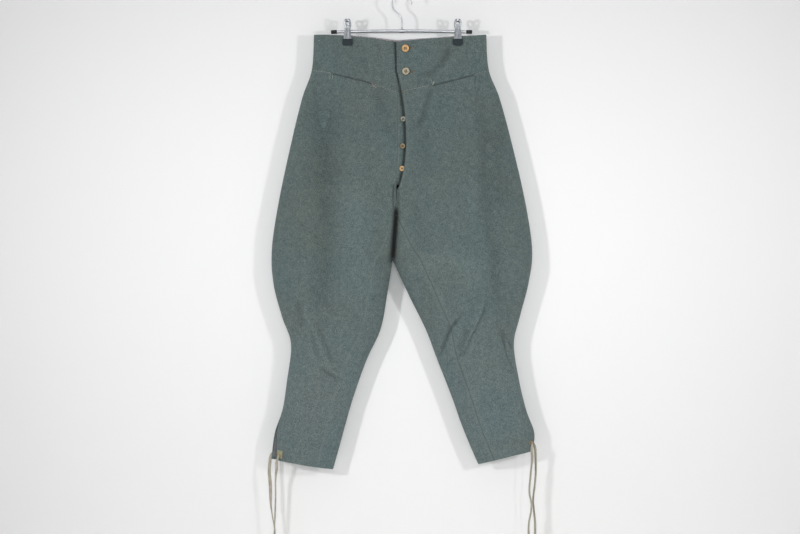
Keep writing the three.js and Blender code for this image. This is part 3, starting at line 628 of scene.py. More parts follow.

# %% [markdown]
# ## Creases
#
# Heavy milled wool keeps the creases of years on a hanger and of knees that bent in it. We place the
# main ones one by one, each with its own path, width and depth, because creases that a computer
# spreads at random look like a rug. Two uneven layers of gentle waves go over them, so that no part
# of the cloth is as smooth as a sheet of metal. lean makes one side of a crease steeper than the other.

# %% Crease table
def crease(reach, height, *line, lean=0.0, face="front"):
    """reach is half its width. height is how far it lifts the cloth, and a negative one sinks it."""
    return {"face": face, "line": line, "reach": reach, "height": height, "lean": lean}


CREASES = [
    # wearer's left front: from the clip across the waistband, and on below the seam
    crease(8, -2.0, (112, -124), (103, -146), (92, -162), (72, -182), (40, -192), lean=0.3),
    crease(10, 0.9, (122, -140), (110, -166), (92, -188)),
    crease(5.5, -2.4, (69, -214), (63, -238), (55, -266), (46, -292), (30, -316), lean=0.3),
    crease(17, -0.9, (48, -318), (52, -365), (58, -425)),
    crease(14, -1.5, (178, -238), (185, -300), (196, -348), (193, -436), (197, -506), (203, -565),
           (216, -600), (219, -660), (224, -728), (232, -768), (233, -796)),
    crease(25, -1.3, (226, -290), (221, -418), (238, -520)),
    crease(7, 0.9, (160, -470), (164, -505), (168, -545)),
    crease(26, 1.2, (40, -640), (100, -622), (165, -640), (172, -700)),
    crease(20, -0.6, (26, -470), (38, -530), (52, -596)),
    # behind the left knee, showing at the front
    crease(3.4, -3.8, (77, -866), (81, -857), (93, -835), (103, -812), (112, -789), (119, -776),
           (131, -763), (138, -757), lean=0.2),
    crease(5, -1.2, (104, -772), (112, -789)),
    crease(2.7, -2.2, (200, -712), (197, -724), (188, -751), (178, -775), (165, -798), (155, -822),
           (145, -839), (131, -852), (119, -855), (109, -866)),
    crease(3.2, 2.0, (193, -724), (183, -751), (172, -776), (159, -799), (149, -822), (141, -835)),
    crease(9, -1.8, (157, -782), (146, -808), (131, -836)),
    crease(8, -0.9, (130, -866), (142, -900), (150, -935)),
    crease(3.6, -2.7, (231, -788), (240, -822), (249, -846), (259, -872), (262, -890), lean=0.2),
    crease(3.2, -2.1, (234, -786), (247, -812), (259, -832), (266, -850)),
    crease(3.4, 1.6, (238, -800), (250, -826), (260, -850)),
    crease(5, -1.2, (248, -730), (250, -760), (249, -786)),
    crease(3, -0.5, (160, -914), (182, -917), (206, -915)),
    # wearer's right front: down the middle of the thigh, and from the clip to the fly
    crease(5, -1.4, (-199, -228), (-201, -250), (-202, -282)),
    crease(36, -2.2, (-178, -250), (-184, -340), (-181, -412), (-179, -470)),
    crease(24, -1.6, (-180, -440), (-178, -550), (-179, -647), (-190, -700), (-180, -760)),
    crease(36, 1.3, (-112, -430), (-105, -540), (-100, -660), (-92, -740)),
    crease(13, -1.2, (-66, -222), (-50, -262), (-33, -308), (-18, -338)),
    crease(6, -1.0, (-96, -148), (-84, -176), (-74, -200)),
    crease(11, 0.9, (-244, -330), (-258, -380), (-272, -430)),
    # behind the right knee
    crease(3.4, 2.4, (-232, -738), (-226, -757), (-213, -776), (-200, -804), (-188, -835), (-176, -859)),
    crease(6, -1.7, (-199, -772), (-190, -800), (-181, -822), (-169, -845), (-161, -868)),
    crease(5, -1.2, (-214, -792), (-203, -828), (-192, -853)),
    crease(9, -1.5, (-242, -716), (-240, -750), (-236, -786)),
    crease(2.9, -2.5, (-191, -873), (-181, -883), (-172, -890), (-160, -897), (-147, -905), (-138, -909),
           lean=0.2),
    crease(3.4, 1.3, (-172, -876), (-150, -890), (-134, -903)),
    # under the fly, where its two layers end in a ridge
    crease(2.6, -4.2, (-18, -446), (-19, -476), (-18, -506)),
    crease(2.4, -3.4, (-8.5, -454), (-8.8, -480), (-8, -503)),
    # the hidden sides, much like the front
    crease(10, -1.8, (-100, -190), (-82, -236), (-70, -280), lean=0.3, face="back"),
    crease(9, -1.5, (112, -170), (90, -222), (84, -262), lean=-0.2, face="back"),
    crease(30, -1.5, (-158, -300), (-170, -420), (-182, -560), (-196, -700), face="back"),
    crease(26, -1.4, (168, -330), (186, -470), (198, -620), (214, -740), face="back"),
    crease(34, 1.0, (96, -420), (110, -560), (104, -690), face="back"),
    crease(4.5, -2.2, (-232, -812), (-196, -836), (-150, -846), (-118, -838), lean=0.3, face="back"),
    crease(5, -1.6, (-226, -838), (-190, -862), (-152, -872), face="back"),
    crease(4.2, -2.1, (244, -800), (206, -828), (160, -842), (124, -834), lean=0.25, face="back"),
    crease(5, -1.7, (240, -846), (196, -868), (150, -872), face="back"),
    crease(9, -2.0, (-42, -540), (-88, -596), (-140, -622), face="back"),
    crease(10, -1.8, (34, -548), (84, -600), (150, -640), face="back"),
]
print(len(CREASES), "creases placed by hand")

# %% Waves and relief
CREASE_STRENGTH, CREASE_END = 1.2, 0.18
random = np.random.default_rng(23)
WAVES = [(length, math.tau * random.random(), math.tau * random.random(), height)
         for longest, shortest, count, height in ((0.19, 0.07, 9, 0.00065), (0.045, 0.018, 14, 0.00014))
         for length in np.linspace(longest, shortest, count)]


def crease_height(face, x, z):
    """How far the creases lift the cloth, or sink it where negative."""
    height = np.zeros(np.shape(x))
    for crease in CREASES:
        if crease["face"] == face:
            away, side, along = distance_to(np.array(crease["line"]) / 1000, x, z)
            reach = crease["reach"] / 1000 * (1 + crease["lean"] * side)
            ends = ease(0, CREASE_END, along) * ease(0, CREASE_END, 1 - along)
            shape = np.exp(-(away / reach) ** 2) * blend(0.3, 1, ends)
            height += crease["height"] / 1000 * shape * (away < 4 * reach)
    return height * CREASE_STRENGTH


def wave_height(face, x, z):
    """The gentle unevenness that lies between the creases."""
    height = np.zeros(np.shape(x))
    shift = 0.0 if face == "front" else 1.7
    for length, way, phase, tall in WAVES:
        run = x * math.cos(way) + z * math.sin(way) * 0.7
        height += tall * np.sin(math.tau * run / length + phase + shift)
    return height


def relief(face, x, z):
    """How far the cloth stands out at a place."""
    return crease_height(face, x, z) + wave_height(face, x, z)


print(len(WAVES), "gentle waves between them")

# %% [markdown]
# ## The wool
#
# The cloth is a melange: fibres dyed dark, grey-green and pale were mixed before spinning, and the
# woven cloth was then milled until its threads sank into a felt. Close up it is a crowd of short
# pale and dark flecks, some lying along the warp and some along the weft. Noise that is stretched
# one way gives such flecks. A group mixes the layers, so the wool and the band's lining can both use
# it, each with colours of its own. Two more groups follow: one paints a line of shade into each
# seam's groove and a pale rim of wear and painted highlight beside it, and one paints shade into
# the creases' troughs and highlight onto their ridges, and makes the cloth lighter towards the hem.

# %% Melange group
tree, given, made = start_group(
    "Melange Wool",
    [("Dark", "NodeSocketColor", colour(60, 72, 74)), ("Middle", "NodeSocketColor", colour(94, 108, 106)),
     ("Light", "NodeSocketColor", colour(150, 160, 152)), ("Fleck Size", "NodeSocketFloat", 0.0009),
     ("Blotches", "NodeSocketFloat", 0.5)],
    [("Color", "NodeSocketColor"), ("Height", "NodeSocketFloat")])
where = add_node(tree, "TexCoord").outputs["Object"]
per_metre = math_node(tree, "DIVIDE", 1.0, given["Fleck Size"])
fleck_space = add_node(tree, "VectorMath", {0: where, 3: per_metre}, operation="SCALE").outputs[0]


def flecks(stretch, scale, detail):
    """Noise over the fleck-sized space, stretched along an axis where its number is small."""
    space = add_node(tree, "VectorMath", {0: fleck_space, 1: stretch}, operation="MULTIPLY").outputs[0]
    return add_node(tree, "TexNoise", {"Vector": space, "Scale": scale, "Detail": detail}).outputs[0]


warp, weft = flecks((1, 1, 0.28), 1.0, 1.0), flecks((0.28, 1, 1), 1.0, 1.0)
round_flecks, clumps = flecks((1, 1, 1), 0.8, 2.0), flecks((1, 1, 1), 0.36, 2.0)
patches = flecks((1, 1, 1), 0.09, 3.0)
short = plus(tree, times(tree, weft, 0.24), times(tree, round_flecks, 0.3))
fibres = plus(tree, times(tree, warp, 0.46), short)
uneven = times(tree, math_node(tree, "SUBTRACT", clumps, 0.5), given["Blotches"])
broad = times(tree, math_node(tree, "SUBTRACT", patches, 0.5), 0.22)
value = plus(tree, fibres, plus(tree, uneven, broad))
spread = map_range(tree, value, 0.34, 0.66)
lower = math_node(tree, "MULTIPLY", spread, 2.0, clamp=True)
upper = math_node(tree, "SUBTRACT", times(tree, spread, 2.0), 1.0, clamp=True)
darker_half = mix_colour(tree, lower, given["Dark"], given["Middle"])
fibre_colour = mix_colour(tree, upper, darker_half, given["Light"])
warm = mix_colour(tree, noise_on(tree, 7.0, 2.0), (0.90, 1.0, 1.07, 1), (1.09, 1.02, 0.93, 1))
tree.links.new(mix_colour(tree, 1.0, fibre_colour, warm, "MULTIPLY"), made["Color"])
tree.links.new(plus(tree, fibres, times(tree, clumps, 0.5)), made["Height"])
melange = tree
print(len(melange.nodes), "nodes in the melange group")

# %% Seam shade and wear group
NO_SEAM = 0.05
tree, given, made = start_group(
    "Seam Shade And Wear",
    [("Distance", "NodeSocketFloat", NO_SEAM), ("Line", "NodeSocketFloat", 0.0012),
     ("Rim", "NodeSocketFloat", 0.006)],
    [("Dark Line", "NodeSocketFloat"), ("Pale Rim", "NodeSocketFloat")])
# painted shade: Dark Line darkens the cloth within Line of a seam, as the shade in its groove or slit
near = map_range(tree, given["Distance"], given["Line"], 0.0)
tree.links.new(near, made["Dark Line"])
# Pale Rim: rubbed wear, with a painted highlight on the seam's raised ridge
rim = map_range(tree, given["Distance"], given["Rim"], given["Line"])
rubbed_and_lit = times(tree, rim, noise_on(tree, 160.0, 3.0))
pale = times(tree, rubbed_and_lit, 1.3)
not_line = math_node(tree, "SUBTRACT", 1.0, near)
tree.links.new(times(tree, pale, not_line), made["Pale Rim"])
seam_shade_and_wear = tree
print(len(tree.nodes), "nodes mark the seams, and", NO_SEAM, "m away none shows")

# %% Painted crease shade and height tone group
tree, given, made = start_group(
    "Crease Shade And Height Tone",
    [("Color", "NodeSocketColor", colour(94, 108, 106)), ("Fold", "NodeSocketFloat", 0.0),
     ("Fold Strength", "NodeSocketFloat", 85.0), ("Lighter Below", "NodeSocketFloat", 0.2)],
    [("Color", "NodeSocketColor")])
# painted shade and highlight: Fold darkens crease troughs, the centre groove, the slits and the cloth under
# the fly's flap, and lightens crease ridges and welts
fold_shade = plus(tree, times(tree, given["Fold"], given["Fold Strength"]), 1.0)
fold_shade = math_node(tree, "MINIMUM", math_node(tree, "MAXIMUM", fold_shade, 0.07), 1.12)
place = add_node(tree, "SeparateXYZ", {0: add_node(tree, "TexCoord").outputs["Object"]}).outputs
# the cloth is darker over the hips than at the band, and lighter and faintly tinted towards the hem
low = map_range(tree, place["Z"], -0.55, -0.98, interpolation_type="SMOOTHSTEP")
high = map_range(tree, place["Z"], -0.32, -0.12, 0.91, 0.99)
height_tone = plus(tree, times(tree, low, given["Lighter Below"]), high)
tone = times(tree, fold_shade, height_tone)
warmer = plus(tree, tone, times(tree, low, 0.02))
bluer = plus(tree, tone, times(tree, low, 0.04))
grey = add_node(tree, "CombineColor", {0: warmer, 1: tone, 2: bluer}).outputs[0]
tree.links.new(mix_colour(tree, 1.0, given["Color"], grey, "MULTIPLY"), made["Color"])
crease_shade_and_height_tone = tree
# creases get painted shade and highlight, and the tone grows lighter towards the hem
print("creases darken and shins fade through", len(tree.nodes), "nodes")

# %% Wool and lining materials
def wool_material(name, dark, middle, light):
    made, tree, inputs = new_material(
        name, Roughness=0.95, Sheen_Weight=0.12, Sheen_Roughness=0.5, Specular_IOR_Level=0.25)
    fibres = use_group(tree, melange, {"Dark": dark, "Middle": middle, "Light": light})
    # edge and fold paint light and shade: a line of shade in each seam's groove, a pale rim of wear and
    # highlight beside it, shade in crease troughs, the centre groove and under the fly's flap, and highlight
    # on crease ridges
    edge = add_node(tree, "Attribute", attribute_name="edge").outputs["Fac"]
    fold = add_node(tree, "Attribute", attribute_name="fold").outputs["Fac"]
    wear = use_group(tree, seam_shade_and_wear, {"Distance": edge})
    lined = mix_colour(tree, times(tree, wear["Dark Line"], 0.75), fibres["Color"], dark)
    worn_and_lit = mix_colour(tree, times(tree, wear["Pale Rim"], 0.45), lined, light)
    shaded_and_toned = use_group(tree, crease_shade_and_height_tone, {"Color": worn_and_lit, "Fold": fold})
    tree.links.new(shaded_and_toned["Color"], inputs["Base Color"])
    tree.links.new(map_range(tree, fibres["Height"], 0, 1, 0.99, 0.86), inputs["Roughness"])
    add_bump(tree, inputs, fibres["Height"], 0.5, 0.0007)
    return made


milled_wool = wool_material("milled wool", colour(72, 82, 84), colour(89, 103, 102), colour(111, 122, 118))
band_lining = wool_material("band lining", colour(120, 112, 124), colour(166, 159, 168),
                            colour(204, 198, 200))
print("wool and lining are mixed")

# %% [markdown]
# ## Cutting and sewing the pieces
#
# Every piece of cloth becomes one thin closed shell: an outer skin, an inner skin and the edge
# between them. We could give a single surface to the Solidify modifier, but near the side seams the
# front and the back come together, and its inner skin would cross itself there. So we compute both
# skins. Where a piece is sewn, its edge dips and meets the next one, and that gives each seam its
# groove. The distance to the seam is stored on the mesh, and the wool reads it to paint a line of
# shade in the seam's groove and a pale rim of wear and highlight beside it.

# %% Rows and columns of a piece
def rows_down(half, first, last, step, keep=()):
    """Section numbers a step apart on the cloth, with a few extra ones close to both ends."""
    fine = np.linspace(first, last, 900)
    line = cloth(half, fine, 0.55, "front")
    along = distance_along(line)
    close = np.array([0.0004, 0.0009, 0.0015, 0.0023])
    at = np.concatenate([np.linspace(0, along[-1], int(along[-1] / step) + 1), close, along[-1] - close])
    return np.unique(np.concatenate([np.interp(at, along, fine), keep]))


def columns_across(start, stop, count):
    """Shares from start to stop for every row, closer together near both edges."""
    part = np.linspace(0, 1, count + 1)
    part = 0.5 * part + 0.25 * (1 - np.cos(math.pi * part))
    close = part[1] * np.array([0.2, 0.45, 0.7])
    part = np.unique(np.concatenate([part, close, 1 - close]))
    start, stop = np.broadcast_arrays(start, stop)
    return start[:, None] + (stop - start)[:, None] * part


def inseam_off(half, section):
    """Distance of the inseam from the inside of the leg, on the front."""
    return column(half, "inseam", np.maximum(section, FORK), True) * np.clip(section - CROSSING, 0, 1)


CLOTH_THICK, BAND_THICK = 0.002, 0.003
VENT_SETBACK = {"right": 0.011, "left": 0.002}
leg_rows = rows_down("left", WAIST_SEAM + 0.002, HEM, 0.0033, (CROSSING, FORK))
print("a leg panel has", len(leg_rows), "rows")

# %% Seam dips, centre groove and flap
DEEP_SEAM, SHALLOW_SEAM = 0.0012, 0.0008
SEAM_WIDE, FLAT_BESIDE, CLEAR = 0.0017, 0.014, 0.0003
GROOVE = {"start": -0.487, "full": -0.517, "depth": 0.0066, "narrow": 0.003, "wide": 0.0066, "shade": 2}
UNDER_FLAP = {"depth": 0.0026, "shade": 2.6}


def outward(points, face):
    """The way the cloth faces at each point of a grid."""
    out = np.cross(np.gradient(points, axis=0), np.gradient(points, axis=1))
    out /= np.maximum(np.linalg.norm(out, axis=2, keepdims=True), 1e-12)
    middle = out[out.shape[0] // 2, out.shape[1] // 2]
    return out * math.copysign(1, middle[1] * (-1 if face == "front" else 1))


def centre_groove(section, from_centre, z):
    """How deep the centre seam sinks between the fly and the fork, and where that has begun."""
    low = ease(GROOVE["start"], GROOVE["full"], z)
    deep = GROOVE["depth"] * low * (1 - ease(FORK - 0.1, FORK + 0.3, section))
    return deep * np.exp(-(from_centre / blend(GROOVE["narrow"], GROOVE["wide"], low)) ** 2), low


def flap_shadow(section, x, z):
    """Strongest just behind the edge of the lapped front, where the cloth under it sinks away and painted
    shadow darkens it.
    """
    flap = column("left", "in_x", section, True) + fly_open(z)
    size = 0.55 + 0.4 * ease(-0.165, -0.11, z) + 0.4 * ease(-0.21, -0.25, z)
    return np.exp(-((flap - x - 0.0024 * size) / (0.0052 * size)) ** 2) * ease(-0.462, -0.452, z)


print("the centre groove is up to", 1000 * GROOVE["depth"], "mm deep")

# %% Both skins of a piece
def skins(half, sections, shares, face, thick, seams, lapped=False, inset=0.0):
    """Outer and inner points of a grid. seams gives how deep each sewn edge dips, in metres."""
    section = np.broadcast_to(sections[:, None], shares.shape)
    outer = cloth(half, section, shares, face, inset, lapped)
    inner = cloth(half, section, shares, face, inset + thick, lapped)
    out = outward(outer, face)
    width = width_at(half, sections)[:, None]
    from_centre = shares * width
    down = distance_along(outer)
    away = {"in": (shares - shares[:, :1]) * width, "out": (shares[:, -1:] - shares) * width,
            "top": down, "bottom": down[-1:] - down}
    # creases and waves die out beside a seam, so that both panels meet in one line
    sides = ease(0, FLAT_BESIDE, (1 - shares) * width)
    sides = sides * blend(ease(0, FLAT_BESIDE, from_centre), 1, centre_open(section))
    # fold keeps the crease depth, and the wool paints shade into its troughs and highlight onto its ridges
    # from it
    fold = crease_height(face, outer[..., 0], outer[..., 2]) * sides
    rise = fold + wave_height(face, outer[..., 0], outer[..., 2]) * sides
    if face == "front":
        deep, low = centre_groove(section, from_centre, outer[..., 2])
        # both halves keep to their meeting line here, or a gap between them would show the lining
        out[..., 0] *= 1 - deep / GROOVE["depth"]
        sunk = np.minimum(deep, np.maximum(-outer[..., 1] - thick - CLEAR, 0))
        outer[..., 1] += sunk
        inner[..., 1] += sunk * 0.8
        # painted shade: the groove's colour is darkened nearly to black
        shade = deep * GROOVE["shade"]
        # between the foot of the fly and the groove no seam is painted
        away["in"] = away["in"] + 0.02 * ease(-0.455, -0.461, outer[..., 2]) * (1 - low)
        if not lapped:
            # painted shadow: the cloth under the flap's edge sinks and is painted darker
            under = UNDER_FLAP["depth"] * flap_shadow(section, outer[..., 0], outer[..., 2])
            rise, shade = rise - under, shade + under * UNDER_FLAP["shade"]
        fold = fold - shade
    edge = np.full(shares.shape, NO_SEAM)
    for name, depth in seams.items():
        dip = depth * np.exp(-(away[name] / SEAM_WIDE) ** 2)
        rise = rise - dip * (sides if name == "bottom" else 1)
        # painted shade: the deeper a seam dips, the darker the line painted along it
        if name != "bottom":
            near = away[name] * (0.6 if depth > DEEP_SEAM else 1)
            edge = np.minimum(edge, near + (0 if depth > SHALLOW_SEAM else 0.0016))
    # the front must not sink through the back
    rise = np.maximum(rise, -np.maximum(np.abs(outer[..., 1]) - thick - CLEAR, 0))
    rise_in = np.maximum(rise, rise * 0.6)
    return {"out": outer + out * rise[..., None], "in": inner + out * rise_in[..., None],
            "edge": edge, "fold": fold, "flip": (face == "back") != (half == "right")}


print("cloth", 1000 * CLOTH_THICK, "mm thick dips within", 1000 * SEAM_WIDE, "mm of a seam")

# %% One shell from its skins
def join_skins(name, grids, outside, inside=None):
    """One closed shell from its grids, joined where they share points."""
    pairs = np.concatenate([np.concatenate([g["out"], g["in"]], axis=2).reshape(-1, 6) for g in grids])
    edge = np.concatenate([g["edge"].ravel() for g in grids])
    fold = np.concatenate([g.get("fold", g["edge"] * 0).ravel() for g in grids])
    # points that lie together become one
    _, first, ids = np.unique(np.round(pairs, 6), axis=0, return_index=True, return_inverse=True)
    ids, quads, start = ids.ravel(), [], 0
    for g in grids:
        rows, columns = g["edge"].shape
        at = ids[start:start + rows * columns].reshape(rows, columns)
        quad = np.stack([at[:-1, :-1], at[:-1, 1:], at[1:, 1:], at[1:, :-1]], -1).reshape(-1, 4)
        if "hole" in g:
            hole = g["hole"]
            quad = quad[~(hole[:-1, :-1] & hole[:-1, 1:] & hole[1:, 1:] & hole[1:, :-1]).ravel()]
        quads.append(quad[:, ::-1] if g["flip"] else quad)
        start += rows * columns
    # each edge that has a face on one side only gets a strip, which joins the outer skin to the inner one
    skin = np.concatenate(quads)
    count = len(first)
    sides = np.stack([skin, np.roll(skin, -1, axis=1)], -1).reshape(-1, 2)
    sides = sides[sides[:, 0] != sides[:, 1]]
    free = sides[~np.isin(sides[:, 0] * count + sides[:, 1], sides[:, 1] * count + sides[:, 0])]
    rim = np.stack([free[:, 1], free[:, 0], free[:, 0] + count, free[:, 1] + count], -1)
    corners = np.concatenate([skin, skin[:, ::-1] + count, rim]).tolist()
    faces = [list(dict.fromkeys(face)) for face in corners]
    kept = [len(face) > 2 for face in faces]
    lined = np.zeros(len(faces), int)
    lined[len(skin):2 * len(skin)] = 1 if inside else 0
    points = np.concatenate([pairs[first, :3], pairs[first, 3:]])
    mesh = bpy.data.meshes.new(name)
    mesh.from_pydata(points.tolist(), [], [face for face, keep in zip(faces, kept) if keep])
    for material in filter(None, (outside, inside)):
        mesh.materials.append(material)
    mesh.polygons.foreach_set("material_index", lined[np.array(kept)])
    for key, values, inner_value in (("edge", edge, NO_SEAM), ("fold", fold, 0.0)):
        mesh.attributes.new(key, "FLOAT", "POINT").data.foreach_set(
            "value", np.concatenate([values[first], np.full(count, inner_value)]))
    middle = Vector(points.mean(axis=0))
    if sum((p.center - middle).dot(p.normal) * p.area for p in mesh.polygons) < 0:
        mesh.flip_normals()
    mesh.shade_smooth()
    mesh.set_sharp_from_angle(angle=math.radians(60))
    made = bpy.data.objects.new(name, mesh)
    bpy.context.collection.objects.link(made)
    return made


def sew(name, grids, nodes, lining=None):
    """A piece of the garment, joined from its grids into one shell of wool, lined if a lining is given."""
    made = join_skins(name, grids, milled_wool, lining)
    fit(made, "wool", *nodes)
    shown = sum(p.area for p in made.data.polygons) / 2
    print(name, "has", len(made.data.polygons), "faces and", round(shown, 4), "square metres of cloth")


print("the pieces are sewn from", milled_wool.name, "and lined with", band_lining.name)

# %% [markdown]
# ## Holes and places
#
# A hole for an eyelet has to be in the cloth itself, or the eyelet would look glued on. Pushing the
# nearest points out to a circle and leaving out the faces between them opens it. Stitches, buttons
# and tapes need the opposite: points that lie exactly on the cloth, creases and all.

# %% Round holes
def punch(grid, place, direction, radius):
    """Opens a round hole by pushing the points inside it out to its edge."""
    hole = np.zeros(grid["edge"].shape, bool)
    for skin in ("out", "in"):
        away = grid[skin] - place
        away -= (away @ direction)[..., None] * direction
        distance = np.linalg.norm(away, axis=2, keepdims=True)
        inside = distance < radius
        grid[skin] += np.where(inside, away * (radius / np.maximum(distance, 1e-5) - 1), 0)
        hole |= inside[..., 0]
    grid["hole"] = hole
    return grid


EYELET_HOLE = 0.0032
print("an eyelet hole is", 2000 * EYELET_HOLE, "mm wide")

# %% Places on the cloth
def on_cloth(half, section, share, face="front", lift=0.0, lapped=False):
    """Points at a height over the cloth's outer skin, and the way the cloth faces there."""
    here = cloth(half, section, share, face, 0, lapped)
    down = cloth(half, np.asarray(section) + 0.01, share, face, 0, lapped) - here
    across = cloth(half, section, np.asarray(share) + 0.01, face, 0, lapped) - here
    out = np.cross(across, down)
    out /= np.linalg.norm(out, axis=-1, keepdims=True)
    out = out * np.sign(out[..., 1:2]) * (-1 if face == "front" else 1)
    return here + out * (relief(face, here[..., 0], here[..., 2]) + lift)[..., None], out


EYELETS = {
    "eyelet_right_front": {"half": "right", "face": "front", "section": 11.72, "off": 0.018},
    "eyelet_right_back": {"half": "right", "face": "back", "section": 11.66, "off": 0.008},
    "eyelet_left_front": {"half": "left", "face": "front", "section": 11.42, "off": 0.0075},
    "eyelet_left_back": {"half": "left", "face": "back", "section": 11.42, "off": 0.0075},
}


def eyelet_seat(facts):
    """Where an eyelet stands, and the way it faces."""
    share = 1 - facts["off"] / width_at(facts["half"], facts["section"])
    here = cloth(facts["half"], facts["section"], share, facts["face"], 0)
    _, out = on_cloth(facts["half"], facts["section"], share, facts["face"])
    rise = relief(facts["face"], here[0], here[2]) * ease(0, 0.014, facts["off"])
    return here + out * rise, out


def open_eyelets(grid, half, face):
    """Opens the eyelet holes of one panel."""
    for facts in EYELETS.values():
        if (facts["half"], facts["face"]) == (half, face):
            place, direction = eyelet_seat(facts)
            grid = punch(grid, place, direction, EYELET_HOLE)
    return grid


EYELET_ROWS = tuple(row + step for row in (11.42, 11.66, 11.72) for step in (-0.05, -0.025, 0, 0.025, 0.05))
first_eyelet, faces_way = eyelet_seat(EYELETS["eyelet_right_front"])
print("the first eyelet is at", first_eyelet.round(3), "and faces", faces_way.round(2))

# %% [markdown]
# ## Front panels
#
# Each front is one piece from the waistband to the hem. The left one laps over the button stand.
# Along the pocket slit the top edge hangs a little away from the band, and a rolled welt lies below
# it. A boolean could cut the slit, but moving a few rows of points looks more like folded cloth.

# %% Front panels
POCKET_SLITS = {"right": (0.28, 0.76), "left": (0.38, 0.84)}
INSEAM_DIP = {"right": 0.0007, "left": 0.0013}
SLIT = {"gap": 0.0021, "sink": 0.0012, "fade": 0.006, "welt": 0.0011, "welt_at": 0.0042, "welt_wide": 0.0022}


def slit_drop(half, shares_from_centre, down):
    """Where the leg's top edge hangs away along a pocket slit, and where its welt stands out."""
    start, stop = POCKET_SLITS[half]
    inside = ease(start - 0.012, start + 0.015, shares_from_centre)
    inside = inside * (1 - ease(stop - 0.015, stop + 0.012, shares_from_centre))
    welt = np.exp(-((down - SLIT["welt_at"]) / SLIT["welt_wide"]) ** 2)
    return inside * np.exp(-(down / SLIT["fade"]) ** 2), inside * welt


def front_panel(half):
    """One front leg, with its pocket slit and its eyelet hole."""
    sections = rows_down(half, WAIST_SEAM + 0.001, HEM, 0.0033, (CROSSING, FORK, *EYELET_ROWS))
    width = width_at(half, sections)
    opened = fly_open(column(half, "in_z", sections, True)) if half == "left" else 0
    vent = VENT_SETBACK[half] * ease(VENT_TOP, HEM, sections)
    shares = columns_across((inseam_off(half, sections) + opened) / width, 1 - vent / width, 100)
    seams = {"in": INSEAM_DIP[half], "out": 0.0009, "top": 0.0006, "bottom": 0.0005}
    grid = skins(half, sections, shares, "front", CLOTH_THICK, seams, lapped=half == "left")
    down = distance_along(grid["out"])
    drop, welt = slit_drop(half, shares * (width / width[0])[:, None], down)
    for skin in ("out", "in"):
        grid[skin][..., 2] -= SLIT["gap"] * drop
        grid[skin][..., 1] += SLIT["sink"] * drop - SLIT["welt"] * welt
    # painted shade in the slit's gap, from the seam line and from fold, and a painted highlight on the welt
    grid["edge"] = np.where(drop > 0.4, np.minimum(grid["edge"], down), grid["edge"])
    grid["fold"] = grid["fold"] - 0.004 * drop * (down < 0.003) + 0.0006 * welt
    return open_eyelets(grid, half, "front")


for half in ("left", "right"):
    parts = [f"front_{part}_{half}" for part in ("hip", "knee", "shin")]
    sew(f"front_panel_{half}", [front_panel(half)], parts)

# %% [markdown]
# ## Back panels
#
# A back leg is wider than a front leg. Below the fork it wraps round the inside of the leg, so that
# its inseam shows from the front. One grid makes the back and one the wrapped part. They share the
# points of the fold between them, so the joined panel has no break there.

# %% Back panels
def back_panel(half):
    """One back leg, and the part of it that wraps round the inside of the leg to the front."""
    sections = rows_down(half, WAIST_SEAM + 0.001, HEM, 0.0036, (CROSSING, FORK, *EYELET_ROWS))
    shares = columns_across(np.zeros(len(sections)), 1.0, 92)
    seams = {"out": 0.0009, "top": 0.0011, "bottom": 0.0005}
    below = (sections > FORK)[:, None]
    back = skins(half, sections, shares, "back", CLOTH_THICK, seams)
    from_centre = shares * width_at(half, sections)[:, None]
    back["out"][..., 1] -= 0.0012 * np.exp(-(from_centre / 0.0017) ** 2) * ~below
    # a painted line of shade down the centre back seam
    back["edge"] = np.where(below, back["edge"], np.minimum(back["edge"], from_centre))
    round_inside = sections[sections > CROSSING]
    reach = inseam_off(half, round_inside) / width_at(half, round_inside)
    seams = {"out": INSEAM_DIP[half], "bottom": 0.0005}
    wrap_shares = columns_across(np.zeros(len(reach)), reach, 22)
    wrap = skins(half, round_inside, wrap_shares, "front", CLOTH_THICK, seams)
    return [open_eyelets(back, half, "back"), wrap]


for half in ("left", "right"):
    parts = [f"back_{part}_{half}" for part in ("hip", "knee", "shin")]
    sew(f"back_panel_{half}", back_panel(half), parts)

# %% [markdown]
# ## Waistband, button stand and pocket facings
#
# The waistband is deep and doubled, with a mauve-grey lining, and its left end laps over its right
# one. The stand under the fly carries the fly buttons, and a strip behind each pocket slit closes
# the gap. All of them lie in the same cloth surface, so each is only another choice of rows and
# columns, thicker or further in.

# %% Waistband, button stand and pocket facings
def band_grid(half, face, reach=1.0, columns=80, lapped=False):
    """One face of a half of the waistband. reach is the share of the half that it covers."""
    sections = rows_down(half, 0, WAIST_SEAM - 0.001, 0.0027)
    start = fly_open(cloth(half, sections, 0, face)[:, 2]) / width_at(half, sections) * lapped
    shares = columns_across(start, reach, columns)
    seams = {"out": 0.0009, "top": 0.0006, "bottom": 0.0006}
    return skins(half, sections, shares, face, BAND_THICK, seams, lapped)


UNDERLAP, STAND_WIDE = 0.036, 0.042
under_reach = UNDERLAP / width_at("left", rows_down("left", 0, WAIST_SEAM - 0.001, 0.0027))
sew("waistband_left", [band_grid("left", "front", lapped=True)], ["waistband_front_left"],
    lining=band_lining)
sew("waistband_right", [band_grid("right", "front"), band_grid("left", "front", under_reach, 16)],
    ["waistband_front_right"], lining=band_lining)
sew("waistband_back_piece", [band_grid("left", "back"), band_grid("right", "back")], ["waistband_back"],
    lining=band_lining)

